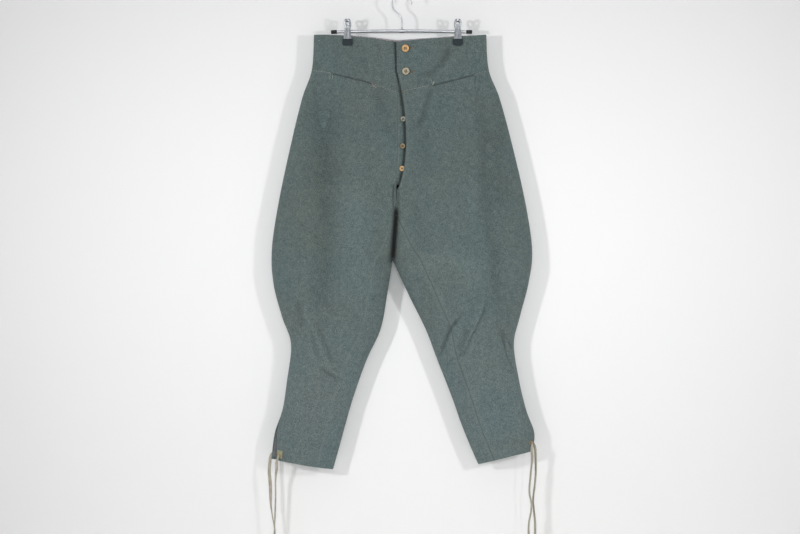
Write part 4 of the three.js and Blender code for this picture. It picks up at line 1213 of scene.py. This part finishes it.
stand_rows = rows_down("left", WAIST_SEAM + 0.002, 3.42, 0.0035)
stand_shares = columns_across(np.zeros(len(stand_rows)), STAND_WIDE / width_at("left", stand_rows), 20)
stand_seams = {"in": 0.0010, "bottom": 0.0004}
sew("button_stand", [skins("left", stand_rows, stand_shares, "front", CLOTH_THICK, stand_seams)],
    ["fly_button_stand"])
for half, (start, stop) in POCKET_SLITS.items():
    facing_rows = rows_down(half, 0.82, 1.3, 0.004)
    shares = columns_across(np.full(len(facing_rows), start - 0.04), stop + 0.04, 30)
    strip = skins(half, facing_rows, shares, "front", CLOTH_THICK, {}, inset=0.0042)
    sew(f"pocket_facing_{half}_strip", [strip],
        [f"pocket_facing_{half}"])

# %% [markdown]
# ## Stitches
#
# Thread tells the eye how big a garment is. A row of machine stitches is a line of short threads
# that dip into the cloth at both ends, so each one is a tiny bent tube rather than a painted dash.
# A bar tack is the dense zigzag that stops a pocket from tearing. To place them by where they are
# seen from the front, we search for the spot on the cloth with a few steps of Newton's method.

# %% Places as seen from the front
def find_on_cloth(half, x, z, face="front"):
    """Section and share of the places that are seen at x and z from the front."""
    section, share = np.full(np.shape(x), 3.0), np.full(np.shape(x), 0.4)
    for _ in range(30):
        here = cloth(half, section, share, face)
        down = (cloth(half, section + 1e-3, share, face) - here) * 1e3
        across = (cloth(half, section, share + 1e-3, face) - here) * 1e3
        miss_x, miss_z = x - here[..., 0], z - here[..., 2]
        size = down[..., 0] * across[..., 2] - down[..., 2] * across[..., 0]
        section = section + np.clip((miss_x * across[..., 2] - miss_z * across[..., 0]) / size, -0.6, 0.6)
        share = share + np.clip((down[..., 0] * miss_z - down[..., 2] * miss_x) / size, -0.2, 0.2)
        section, share = np.clip(section, 0, HEM), np.clip(share, -0.1, 1)
    return section, share


def seen_at(half, points, face="front", lift=0.0, lapped=False):
    """Places on the cloth for (x, z) points in millimetres, and the way it faces there."""
    x, z = np.array(points, float).T / 1000
    return on_cloth(half, *find_on_cloth(half, x, z, face), face, lift, lapped)


print("a place on the thigh is at section", round(float(find_on_cloth("left", 0.15, -0.5)[0]), 2))

# %% Stitches and tacks
def running_stitch(path, out, stitch=0.0027, gap=0.0009, radius=0.00026):
    """Short threads along a path on the cloth, each sunk into it at both ends."""
    along = distance_along(path)
    parts, arch = [], np.sin(np.linspace(0, math.pi, 5)) - 0.5
    for start in np.arange(0.001, along[-1] - stitch, stitch + gap):
        at = np.linspace(start, start + stitch, 5)
        points, ways = (np.stack([np.interp(at, along, v[:, k]) for k in range(3)], 1) for v in (path, out))
        parts.append(tube(points + ways * arch[:, None] * radius * 1.7, radius, 5))
    return parts


def bar_tack(half, middle, turn, length, width, count, radius=0.0003, lapped=False, lift=0.0):
    """A dense zigzag of thread. turn is its slope in degrees, sizes are in millimetres."""
    along = np.linspace(-length / 2, length / 2, 2 * count)
    side = width / 2 * np.where(np.arange(2 * count) % 2, 1, -1)
    slope = math.radians(turn)
    points = np.stack([middle[0] + along * math.cos(slope) - side * math.sin(slope),
                       middle[1] + along * math.sin(slope) + side * math.cos(slope)], 1)
    quarters = np.arange(0, len(points) - 0.9, 0.25)
    fine = np.stack([np.interp(quarters, range(len(points)), c) for c in points.T], 1)
    path, _ = seen_at(half, fine, "front", 0.00025 + lift, lapped)
    return [tube(path, radius, 5)]


example = running_stitch(np.array([[0, 0, 0], [0.02, 0, 0]]), np.array([[0, -1, 0], [0, -1, 0]]))
print("20 mm of seam takes", len(example), "machine stitches")

# %% Thread materials
def thread_material(name, dark, light):
    made, tree, inputs = new_material(name, Roughness=0.8, Sheen_Weight=0.1)
    fuzz = noise_on(tree, 500.0, 3.0)
    tree.links.new(mix_colour(tree, fuzz, dark, light), inputs["Base Color"])
    add_bump(tree, inputs, fuzz, 0.5, 0.0002)
    return made


grey_thread = thread_material("grey-green thread", colour(78, 90, 88), colour(128, 138, 132))
pale_thread = thread_material("pale thread", colour(120, 130, 126), colour(176, 182, 172))
pink_thread = thread_material("faded pink thread", colour(104, 102, 102), colour(156, 142, 140))
brown_thread = thread_material("brown thread", colour(86, 76, 62), colour(146, 130, 108))
dark_thread = thread_material("dark thread", colour(40, 50, 52), colour(62, 72, 74))
print("five threads")

# %% Rows of machine stitches
def band_edge_row(half, low, high, drop, start=0.0, stop=1.0, lapped=False):
    """A row that follows a section line, drop metres below it."""
    shares = np.linspace(start, stop, 140)
    line = cloth(half, low, shares, "front")
    section, share = find_on_cloth(half, line[:, 0], line[:, 2] - drop)
    return on_cloth(half, np.clip(section, low, high), share, "front", 0.0001, lapped)


# how far inside its edge each row runs, in metres
ROW_INSIDE = {"band top": 0.0052, "band end": 0.0055, "waist seam": 0.0042, "vent": 0.0062, "fly": 0.0056,
              "stand": 0.0046}
rows = []
for half in ("left", "right"):
    lap = half == "left"
    width = float(width_at(half, 0.5))
    rows.append(band_edge_row(half, 0, 1, ROW_INSIDE["band top"], 0.02, 0.985, lap))
    rows.append(band_edge_row(half, WAIST_SEAM, 2, ROW_INSIDE["waist seam"], 0.03, 0.985, lap))
    shin = np.linspace(VENT_TOP + 0.1, HEM - 0.1, 60)
    setback = VENT_SETBACK[half] * ease(VENT_TOP, HEM, shin) + ROW_INSIDE["vent"]
    rows.append(on_cloth(half, shin, 1 - setback / width_at(half, shin), "front", 0.0001, lap))
    rows.append(on_cloth(half, shin, 1 - ROW_INSIDE["vent"] / width_at(half, shin), "back", 0.0001))
band = np.linspace(0.06, 0.985, 40)
rows.append(on_cloth("left", band, ROW_INSIDE["band end"] / width_at("left", band), "front", 0.0001, True))
fly = np.linspace(1.03, 3.95, 160)
fly_edge = fly_open(column("left", "in_z", fly, True))
fly_share = (fly_edge + ROW_INSIDE["fly"]) / width_at("left", fly)
rows.append(on_cloth("left", fly, fly_share, "front", 0.0001, True))
stand = np.linspace(1.1, 3.36, 90)
rows.append(on_cloth("left", stand, ROW_INSIDE["stand"] / width_at("left", stand), "front", 0.0001))
machine_rows = [part for path, out in rows for part in running_stitch(path, out)]
fit(make_object("machine_stitches", machine_rows, grey_thread), "wool")
print(len(machine_rows), "machine stitches in", len(rows), "rows")

WAIST_SEAM_Z = -0.236
seam_stitches = []
for half, (start, stop) in POCKET_SLITS.items():
    lap = half == "left"
    first = (fly_open(WAIST_SEAM_Z) + 0.003) / width_at(half, WAIST_SEAM) if lap else 0.01
    for low, high in ((first, start - 0.015), (stop + 0.02, 0.985)):
        path, out = band_edge_row(half, WAIST_SEAM, 2, 0.0004, low, high, lap)
        seam_stitches += running_stitch(path, out, stitch=0.0040, gap=0.0022, radius=0.00045)
fit(make_object("waist_seam_stitches", seam_stitches, pale_thread), "wool")
print(len(seam_stitches), "larger stitches beside the waist seam")

# %% Bar tacks and hand stitches
tacks = {
    "pocket_tack_right_inner": (pink_thread, bar_tack("right", (-68.5, -214), -62, 11, 3.2, 13)
                                + bar_tack("right", (-63.5, -219), -24, 8, 2.6, 8)),
    "pocket_tack_right_outer": (pale_thread, bar_tack("right", (-168.5, -192), 84, 15, 1.6, 8)
                                + bar_tack("right", (-163, -194), 86, 12, 1.4, 6)),
    "pocket_tack_left_inner": (pale_thread, bar_tack("left", (73, -211), 68, 9, 2.8, 11, lapped=True)
                               + bar_tack("left", (69, -206), 100, 7, 1.2, 4, lapped=True)),
    "pocket_tack_left_outer": (dark_thread, bar_tack("left", (171, -202), 82, 20, 1.2, 9, lapped=True)
                               + bar_tack("left", (181, -199), 82, 14, 1.0, 6, lapped=True)),
    "waist_seam_tack": (brown_thread, bar_tack("left", (5.2, -229), 24, 12, 1.5, 9, lapped=True)
                        + bar_tack("left", (8.2, -235), 24, 11, 1.2, 7, lapped=True)),
    "fly_foot_tack": (grey_thread, bar_tack("left", (-1.5, -449), 80, 10, 3, 11, lapped=True)),
    "vent_tack_right": (grey_thread, bar_tack("right", (-286, -984), 70, 9, 3, 9)),
    "vent_tack_left": (grey_thread, bar_tack("left", (286, -972), -72, 9, 3, 9, lapped=True)),
}
for name, (thread, parts) in tacks.items():
    fit(make_object(name, parts, thread), "wool")


def loose_end(half, start, wander, length, radius=0.00035):
    """A short end of thread that stands off the cloth in a curl."""
    path = np.cumsum(np.array([[0, 0]] + wander), axis=0) * length / len(wander) + start
    points, out = seen_at(half, path, "front", 0.0004)
    rise = np.sin(np.linspace(0, math.pi, len(points)))[:, None] * 0.0016
    return tube(smooth_path(points + out * rise, 24), radius, 5)


fit(make_object("loose_threads", [
    loose_end("right", (-195.5, -108), [[0.6, -0.9], [0.8, 0.3], [-0.2, 0.9], [-0.7, 0.2]], 6),
    loose_end("right", (-290.5, -992), [[0.3, -1.1], [0.9, -0.5], [0.2, 0.9], [-0.6, 0.5], [0.8, -0.2]], 9),
    loose_end("right", (-291, -998), [[-0.3, -0.9], [0.6, -0.7], [0.7, 0.4]], 7)], pale_thread), "wool")
print(len(tacks), "tacks")

# %% [markdown]
# ## Buttonholes
#
# A buttonhole is a slit with stitches packed side by side round it. We wind one thread in a coil
# along a long oval, which gives the same ridge as hundreds of separate stitches with fewer faces.

# %% Buttonholes
OVAL_HALF, WINDINGS, COIL_RADIUS = 1.5, 35, 0.0011


def buttonhole(half, middle, length):
    """Overcast stitches round a slit: a fine coil of thread along a long oval."""
    turn = np.linspace(0, 2 * math.pi, 16 * WINDINGS + 1)
    straight = length / 2 - OVAL_HALF
    oval = np.stack([middle[0] + straight * np.tanh(2.2 * np.cos(turn)) + OVAL_HALF * np.cos(turn),
                     middle[1] + OVAL_HALF * np.sin(turn)], 1)
    path, out = seen_at(half, oval, "front", 0.0002, lapped=True)
    side = np.cross(out, directions(path))
    coil = turn * WINDINGS
    path = path + COIL_RADIUS * (np.cos(coil)[:, None] * side + 0.5 * np.sin(coil)[:, None] * out)
    return tube(path[:-1], 0.0004, 5)


def slit_shade_strip(half, middle, length):
    """A dark strip in the mouth of a buttonhole: painted shade where the slit opens."""
    across = np.linspace(-length / 2 + 1.6, length / 2 - 1.6, 20)
    line = np.stack([middle[0] + across, np.full(20, middle[1])], 1)
    path, _ = seen_at(half, line, "front", -0.00005, True)
    return tube(path, 0.0008 * np.sin(np.linspace(0.25, math.pi - 0.25, 20)), 6)


HOLES = {"buttonhole_upper": ((12.3, -127.4), 24), "buttonhole_lower": ((15, -183.8), 27)}
for name, (middle, length) in HOLES.items():
    fit(make_object(name, [buttonhole("left", middle, length)], brown_thread), "wool")
# painted shade: a dark strip lies in each buttonhole's slit
slit_shades = [slit_shade_strip("left", middle, length) for middle, length in HOLES.values()]
fit(make_object("buttonhole_slit_shade", slit_shades, dark_thread), "wool")
print(len(HOLES), "buttonholes")

# %% [markdown]
# ## Tape at the vent
#
# The right vent is faced: a strip of khaki tape is sewn outside its edge, and a mauve one inside.
# A plane laid over the cloth would cut through its creases. The same function that places stitches
# gives points just above the cloth instead, so each strip follows every crease under it.

# %% Tape at the wearer's right vent
def vent_tape(name, face, sections, offs, lift, finish):
    """A strip sewn flat on the cloth beside the vent, on its outside or on its inside."""
    section, off = np.linspace(*sections, 26)[:, None], np.linspace(*offs, 9)[None, :]
    outer, out = on_cloth("right", section, 1 - off / width_at("right", section), face, lift)
    plain = np.zeros(outer.shape[:2])
    grid = {"out": outer, "in": outer - out * 0.0005, "edge": plain + NO_SEAM, "flip": face == "back"}
    fit(join_skins(name, [grid], finish), "lace_tape")


khaki_tape = tape_material("khaki tape", colour(112, 118, 94), colour(174, 178, 150))
mauve_facing = tape_material("mauve facing", colour(104, 108, 112), colour(152, 152, 158))
KHAKI_FROM, KHAKI_TO = 0.0114, 0.0243
vent_tape("vent_tape_outside", "front", (11.54, 11.84), (KHAKI_FROM, KHAKI_TO), 0.0007, khaki_tape)
vent_tape("vent_facing_inside", "back", (10.7, 11.84), (0.0012, 0.0125), -0.0024, mauve_facing)
bend = np.linspace(11.50, 11.86, 30)
arc_off = 0.0250 + 0.0016 * np.sin(np.linspace(0, math.pi, 30))
arc = on_cloth("right", bend, 1 - arc_off / width_at("right", bend), "front", 0.0005)
fit(make_object("vent_tape_stitches", running_stitch(*arc, stitch=0.0036, gap=0.0004, radius=0.00055),
                brown_thread), "wool")
print("the tape is", round(1000 * (KHAKI_TO - KHAKI_FROM), 1), "mm wide")

# %% [markdown]
# ## Buttons
#
# A turned button has a raised rim, a dish and four drilled holes. Drilling them with a boolean would
# leave long thin faces that shade badly, so we build the face from rings of points and sink the
# ones that lie inside a hole. Horn and nut are mottled: a soft noise and wavering bands, like lines of
# growth, give that. Painted shade darkens the holes, the rim and the underside, grime darkens the
# middle, and threads run from hole to hole.

# %% Button materials
tree, given, made = start_group(
    "Turned Horn",
    [("Dark", "NodeSocketColor", colour(110, 80, 58)), ("Light", "NodeSocketColor", colour(205, 172, 130)),
     ("Grain", "NodeSocketFloat", 260.0)],
    [("Color", "NodeSocketColor"), ("Height", "NodeSocketFloat")])
where = add_node(tree, "TexCoord").outputs["Object"]
cloud = add_node(tree, "TexNoise", {"Vector": where, "Scale": given["Grain"], "Detail": 4.0,
                                    "Distortion": 1.2})
lines = add_node(tree, "TexWave", {"Vector": where, "Scale": 300.0, "Distortion": 5.0, "Detail": 3.0})
mixed = plus(tree, times(tree, cloud.outputs[0], 0.8), times(tree, lines.outputs[1], 0.22))
horn_colour = mix_colour(tree, map_range(tree, mixed, 0.3, 0.75), given["Dark"], given["Light"])
tree.links.new(horn_colour, made["Color"])
tree.links.new(mixed, made["Height"])
turned_horn = tree


def button_material(name, dark, light, roughness):
    made, tree, inputs = new_material(name, Coat_Weight=0.25, Coat_Roughness=0.2, Specular_IOR_Level=0.55)
    horn = use_group(tree, turned_horn, {"Dark": dark, "Light": light})
    # painted shade and grime: dip darkens the holes, the rim and the underside with shade, and the middle
    # with grime
    shade_and_grime = add_node(tree, "Attribute", attribute_name="dip").outputs["Fac"]
    tree.links.new(mix_colour(tree, shade_and_grime, horn["Color"], colour(36, 29, 24)), inputs["Base Color"])
    duller = map_range(tree, horn["Height"], 0, 1, roughness, roughness + 0.2)
    tree.links.new(duller, inputs["Roughness"])
    add_bump(tree, inputs, horn["Height"], 0.25, 0.0002)
    return made


golden_horn = button_material("golden horn", colour(170, 120, 68), colour(240, 202, 144), 0.32)
grey_horn = button_material("grey horn", colour(112, 104, 82), colour(204, 198, 172), 0.36)
pale_nut = button_material("pale nut", colour(104, 106, 92), colour(176, 174, 158), 0.42)
brown_nut = button_material("brown nut", colour(96, 80, 58), colour(172, 150, 108), 0.42)
print("four button materials")

# %% Button shape
def turned_button(radius, thick, hole, pitch):
    """A four-hole button lying on its back: points, faces and how dark each point is painted, with shade in
    the holes, round the rim and underneath, and grime in the middle.
    """
    sides, rings = 120, 54
    turn = np.linspace(0, 2 * math.pi, sides, endpoint=False)
    part = np.linspace(0, 1, rings)[1:]
    rim = np.exp(-((part - 0.83) / 0.13) ** 2)
    edge = np.sqrt(np.clip(1 - ((part - 0.86) / 0.14) ** 2, 0, 1))
    dished = 0.62 + 0.38 * rim - 0.10 * np.exp(-(part / 0.3) ** 2)
    height = thick * dished * np.where(part > 0.86, 0.45 + 0.55 * edge, 1)
    x, y = radius * part[:, None] * np.cos(turn), radius * part[:, None] * np.sin(turn)
    z = np.broadcast_to(height[:, None], x.shape)
    depth = np.zeros(x.shape)
    for hole_x in (-pitch / 2, pitch / 2):
        for hole_y in (-pitch / 2, pitch / 2):
            away = np.hypot(x - hole_x, y - hole_y)
            depth = np.maximum(depth, 1 - ease(hole * 0.7, hole * 1.15, away))
    top = np.stack([x, y, z - 0.7 * thick * depth], -1)
    low, under = (np.stack([radius * wide * np.cos(turn), radius * wide * np.sin(turn),
                            np.full(sides, high * thick)], -1) for wide, high in ((0.97, 0.1), (0.86, 0)))
    points = np.concatenate([[[0, 0, height[0]]], top.reshape(-1, 3), low, under, [[0, 0, 0]]])
    faces = [[0, 1 + i, 1 + (i + 1) % sides] for i in range(sides)]
    faces += [[v + 1 for v in face] for face in ring_faces(rings + 1, sides, capped=False)]
    last = 1 + rings * sides
    faces += [[last + (i + 1) % sides, last + i, last + sides] for i in range(sides)]
    # painted shade round the rim, in the holes and under the button, and grime in the middle
    stain = 0.6 * np.exp(-(part / 0.36) ** 2) + 0.9 * ease(0.80, 0.97, part)
    shade_and_grime_mask = np.maximum(depth, stain[:, None])
    return points, faces, np.concatenate([[0.6], shade_and_grime_mask.ravel(), np.full(2 * sides + 1, 0.9)])


# radius, thickness, radius of a hole, distance from hole to hole
BIG_BUTTON, SMALL_BUTTON = (0.0095, 0.0026, 0.00105, 0.0044), (0.00675, 0.0024, 0.0008, 0.0032)
print("the waist buttons are", 2000 * BIG_BUTTON[0], "mm across, the fly's", 2000 * SMALL_BUTTON[0], "mm")

# %% Buttons in their places
BUTTONS = {
    "waist_button_upper": {"section": 0.215, "off": 0.0205, "big": True, "finish": golden_horn, "tilt": 8},
    "waist_button_lower": {"section": 0.63, "off": 0.0205, "big": True, "finish": grey_horn, "tilt": 38},
    "fly_button_upper": {"section": 1.975, "off": 0.0135, "big": False, "finish": pale_nut, "tilt": 20},
    "fly_button_middle": {"section": 2.63, "off": 0.012, "big": False, "finish": brown_nut, "tilt": 52},
    "fly_button_lower": {"section": 3.11, "off": 0.011, "big": False, "finish": golden_horn, "tilt": 5},
}
for name, facts in BUTTONS.items():
    big = facts["big"]
    radius, thick, hole, pitch = BIG_BUTTON if big else SMALL_BUTTON
    points, faces, dip = turned_button(radius, thick, hole, pitch)
    place, out = on_cloth("left", facts["section"], facts["off"] / width_at("left", facts["section"]),
                          "front", 0.0004, lapped=big)
    tilt = math.radians(facts["tilt"])
    spin = np.array([[math.cos(tilt), -math.sin(tilt), 0], [math.sin(tilt), math.cos(tilt), 0], [0, 0, 1]])
    disc = moved((points @ spin.T, faces), place, out)
    made = make_object(name + "_turned", [disc], facts["finish"], 75)
    made.data.attributes.new("dip", "FLOAT", "POINT").data.foreach_set("value", dip)
    fit(made, "horn_button" if big else "nut_button", name)
    strands = []
    for side in (-pitch / 2, pitch / 2):
        for nudge in (-0.0003, 0.0003):
            line = np.linspace(-1, 1, 9)
            high = thick * (0.72 - 0.75 * line ** 6)
            arch = np.stack([np.full(9, side + nudge), line * pitch / 2, high], 1)
            strands.append(moved(tube(arch @ spin.T, 0.00040, 6), place, out))
    fit(make_object(name + "_thread", strands, brown_thread if big else dark_thread), "wool")
print(len(BUTTONS), "buttons sewn on")

# %% [markdown]
# ## Eyelets
#
# Two brass eyelets stand at the foot of each vent. One is a short tube whose ends were rolled over
# the cloth, so a lathed profile with a round lip is all it needs. Old brass is dull brown with
# brighter patches, so a noise mixes both tones and also drives the roughness.

# %% Eyelets
brass, tree, paint = new_material("dulled brass", Metallic=0.75)
stain = noise_on(tree, 420.0, 5.0, roughness=0.7)
tree.links.new(mix_colour(tree, stain, colour(120, 92, 58), colour(208, 178, 132)), paint["Base Color"])
tree.links.new(map_range(tree, stain, 0, 1, 0.65, 0.3), paint["Roughness"])
add_bump(tree, paint, stain, 0.3, 0.0002)
EYELET_PROFILE = [(2.3, -2.9), (3.6, -3.0), (4.5, -2.8), (4.5, -2.35), (2.8, -2.3), (2.8, 0.2), (4.7, 0.15),
                  (4.8, 0.45), (4.5, 0.85), (3.9, 1.15), (3.3, 1.2), (2.7, 0.95), (2.35, 0.5), (2.3, 0.0)]
for name, facts in EYELETS.items():
    place, out = eyelet_seat(facts)
    ring = turned(np.array(EYELET_PROFILE) / 1000, 56)
    fit(make_object(name + "_rolled", [moved(ring, place, out)], brass, 70), "eyelet_brass", name)
print(len(EYELETS), "eyelets")

# %% [markdown]
# ## Hanger
#
# The hanger is bent wire and a rod, all in bright chrome, with soft black caps and rubber grips.
# Chrome shows little colour of its own: it mirrors the pale room and the dark garment below it, so
# round bars with many sides matter more here than paint. The rod sags a little towards its ends.

# %% Hanger materials
def hard_material(name, dark, light, low, high, scale, **constants):
    """A hard surface with faint wear: noise moves its colour and its roughness a little."""
    made, tree, inputs = new_material(name, **constants)
    wear = noise_on(tree, scale, 4.0)
    tree.links.new(mix_colour(tree, wear, dark, light), inputs["Base Color"])
    tree.links.new(map_range(tree, wear, 0, 1, low, high), inputs["Roughness"])
    add_bump(tree, inputs, wear, 0.08, 0.0002)
    return made


chrome = hard_material("hanger chrome", colour(190, 193, 197), colour(224, 227, 231), 0.28, 0.42, 120.0,
                       Metallic=1.0)
clip_steel = hard_material("clip steel", colour(112, 115, 119), colour(156, 159, 163), 0.3, 0.45, 160.0,
                           Metallic=1.0)
black_cap = hard_material("black cap", colour(14, 15, 15), colour(26, 27, 28), 0.2, 0.35, 200.0)
slate_rubber = hard_material("slate rubber", colour(34, 43, 47), colour(47, 57, 61), 0.6, 0.8, 260.0,
                             Specular_IOR_Level=0.3)
print("chrome, black and rubber")

# %% Hook, rod and collar
ROD_RADIUS, ROD_Z, ROD_LEFT, ROD_RIGHT = 0.00375, -0.085, 0.163, -0.165


def rod_sag(x):
    """The rod's height above its middle, at x."""
    return -0.0026 * (x / 0.165) ** 2


turn = np.linspace(-0.1, math.pi + 0.1, 15)
hook_line = [(22.8 * math.cos(t), 0, 22.8 * math.sin(t) - 21.05) for t in turn]
hook_line += [(x, 0, z) for x, z in [(-20.4, -33), (-15.5, -38.6), (-9, -44), (-3.6, -50.3), (-0.8, -57.5),
                                     (0, -66), (0, -79.8)]]
HOOK_POINTS = 190
hook_path = smooth_path(np.array(hook_line) / 1000, HOOK_POINTS)
tip = np.minimum(1, np.sqrt(np.clip((np.arange(HOOK_POINTS) + 0.6) / 6, 0, 1)))
fit(make_object("hook_wire", [tube(hook_path, 0.00175 * tip, 24)], chrome), "hanger_chrome", "hanger_hook")
rod_x = np.linspace(ROD_RIGHT, ROD_LEFT, 60)
rod_path = np.stack([rod_x, np.zeros(60), ROD_Z + rod_sag(rod_x)], 1)
fit(make_object("rod_bar", [tube(rod_path, ROD_RADIUS, 40)], chrome), "hanger_chrome", "hanger_rod")
collar = [(4.05, -6.5), (4.6, -6.5), (4.9, -6.2), (4.9, -4.9), (4.55, -4.6), (4.55, -4.2), (4.9, -3.9)]
collar += [(wide, -along) for wide, along in collar[::-1]]
collar_part = moved(turned(np.array(collar) / 1000, 48), (0, 0, ROD_Z), (1, 0, 0))
seat_line = [(0, 0, ROD_Z + over) for over in (0.0044, 0.0052, 0.0058)]
seat = tube(seat_line, [0.0028, 0.0027, 0.002], 24)
fit(make_object("collar_ring", [collar_part, seat], chrome), "hanger_chrome", "hanger_collar")
for name, end, side in (("hanger_cap_right", ROD_RIGHT, -1), ("hanger_cap_left", ROD_LEFT, 1)):
    cup = [(4.05, -12), (4.45, -12), (4.6, -11.7), (4.6, 0.4), (4.4, 1.2), (3.8, 1.75), (2.6, 2.0),
           (0.05, 2.0), (0.05, 0.3), (4.05, 0.3)]
    part = moved(turned(np.array(cup) / 1000, 40), (end, 0, ROD_Z + rod_sag(end)), (side, 0, -0.03))
    fit(make_object(name + "_soft", [part], black_cap), "cap_black", name)
print("the rod sags", round(-1000 * rod_sag(0.165), 1), "mm at its ends")

# %% Shapes of the clips
# rows of a plate in millimetres: height, distance from the middle, half width
PLATE_ROWS = [(-117, 5.3, 9), (-104, 5.3, 9.2), (-94, 5.5, 8.4), (-85, 5.7, 7.2), (-79, 5.9, 6.6),
              (-73, 6.4, 7.6), (-66, 7.2, 8.2), (-61, 7.9, 7.2), (-58, 8.3, 4.2)]
PLATE_THICK = 0.0012
THUMB_HOLE = {"y": 0.0075, "z": -0.0665, "radius": 0.0037}


def clip_plate(x, face):
    """A steel plate pressed into two long ribs, with a thumb hole near its top."""
    side = -1 if face == "front" else 1
    z, y, half = spline(np.array(PLATE_ROWS) / 1000, np.linspace(0, 8, 90)).T[:, :, None]
    across = np.linspace(-1, 1, 41)
    rib = 0.0008 * np.sin(math.pi * across) ** 2
    skins_of = {}
    for skin, away in (("out", PLATE_THICK), ("in", 0.0)):
        px, py, pz = np.broadcast_arrays(x + across * half, side * (y + rib + away), z)
        skins_of[skin] = np.stack([px, py, pz], -1)
    grid = {**skins_of, "edge": np.full((90, 41), NO_SEAM), "flip": False}
    middle = np.array([x, side * THUMB_HOLE["y"], THUMB_HOLE["z"]])
    return punch(grid, middle, np.array([0.0, 1.0, 0.0]), THUMB_HOLE["radius"])


def clip_pad(x, face, rounded):
    """A rubber grip with soft edges. Its lower corners are rounded or cut off."""
    side = -1 if face == "front" else 1
    wide, top, low = 0.0115, -0.1045, -0.120
    if rounded:
        turn = np.linspace(0, math.pi / 2, 8)
        corner = [(wide - 0.0032 + 0.0032 * math.cos(t), low + 0.0032 - 0.0032 * math.sin(t)) for t in turn]
    else:
        corner = [(wide, low + 0.0045), (wide - 0.0015, low + 0.0021), (wide - 0.0045, low)]
    right = [(wide - 0.0008, top), (wide, top - 0.0008)] + corner
    outline = np.array(right + [(-px, pz) for px, pz in right[::-1]])
    middle = outline.mean(axis=0)
    rings = []
    for depth, inset in ((0.0041, 0.0006), (0.0045, 0.0), (0.0074, 0.0), (0.0080, 0.0003), (0.0083, 0.0011)):
        ring = middle + (outline - middle) * (1 - inset / 0.0085)
        rings.append(np.stack([x + ring[:, 0], np.full(len(ring), side * depth), ring[:, 1]], 1))
    return np.concatenate(rings), ring_faces(5, len(outline))


print("a clip's plate is", 1000 * PLATE_THICK, "mm thick")

# %% Clips on the waistband
for clip, x, rounded in (("clip_right", CLIP_X[0], True), ("clip_left", CLIP_X[1], False)):
    turns = np.linspace(0, 2 * math.pi * 7, 7 * 28)
    coil = np.stack([x - 0.0045 + 0.009 * turns / turns[-1], 0.0045 * np.cos(turns),
                     ROD_Z + rod_sag(x) + 0.0045 * np.sin(turns)], 1)
    wound = make_object(clip + "_spring_coil", [tube(coil, 0.00055, 8)], chrome)
    fit(wound, "hanger_chrome", clip + "_spring")
    for face in ("front", "back"):
        pressed = join_skins(f"{clip}_plate_{face}_pressed", [clip_plate(x, face)], clip_steel)
        fit(pressed, "hanger_chrome", f"{clip}_plate_{face}")
        pad = make_object(f"{clip}_{face}_pad", [clip_pad(x, face, rounded)], slate_rubber, 30)
        fit(pad, "pad_rubber", f"{clip}_pad_{face}")
print("two clips grip the waistband at", CLIP_X)
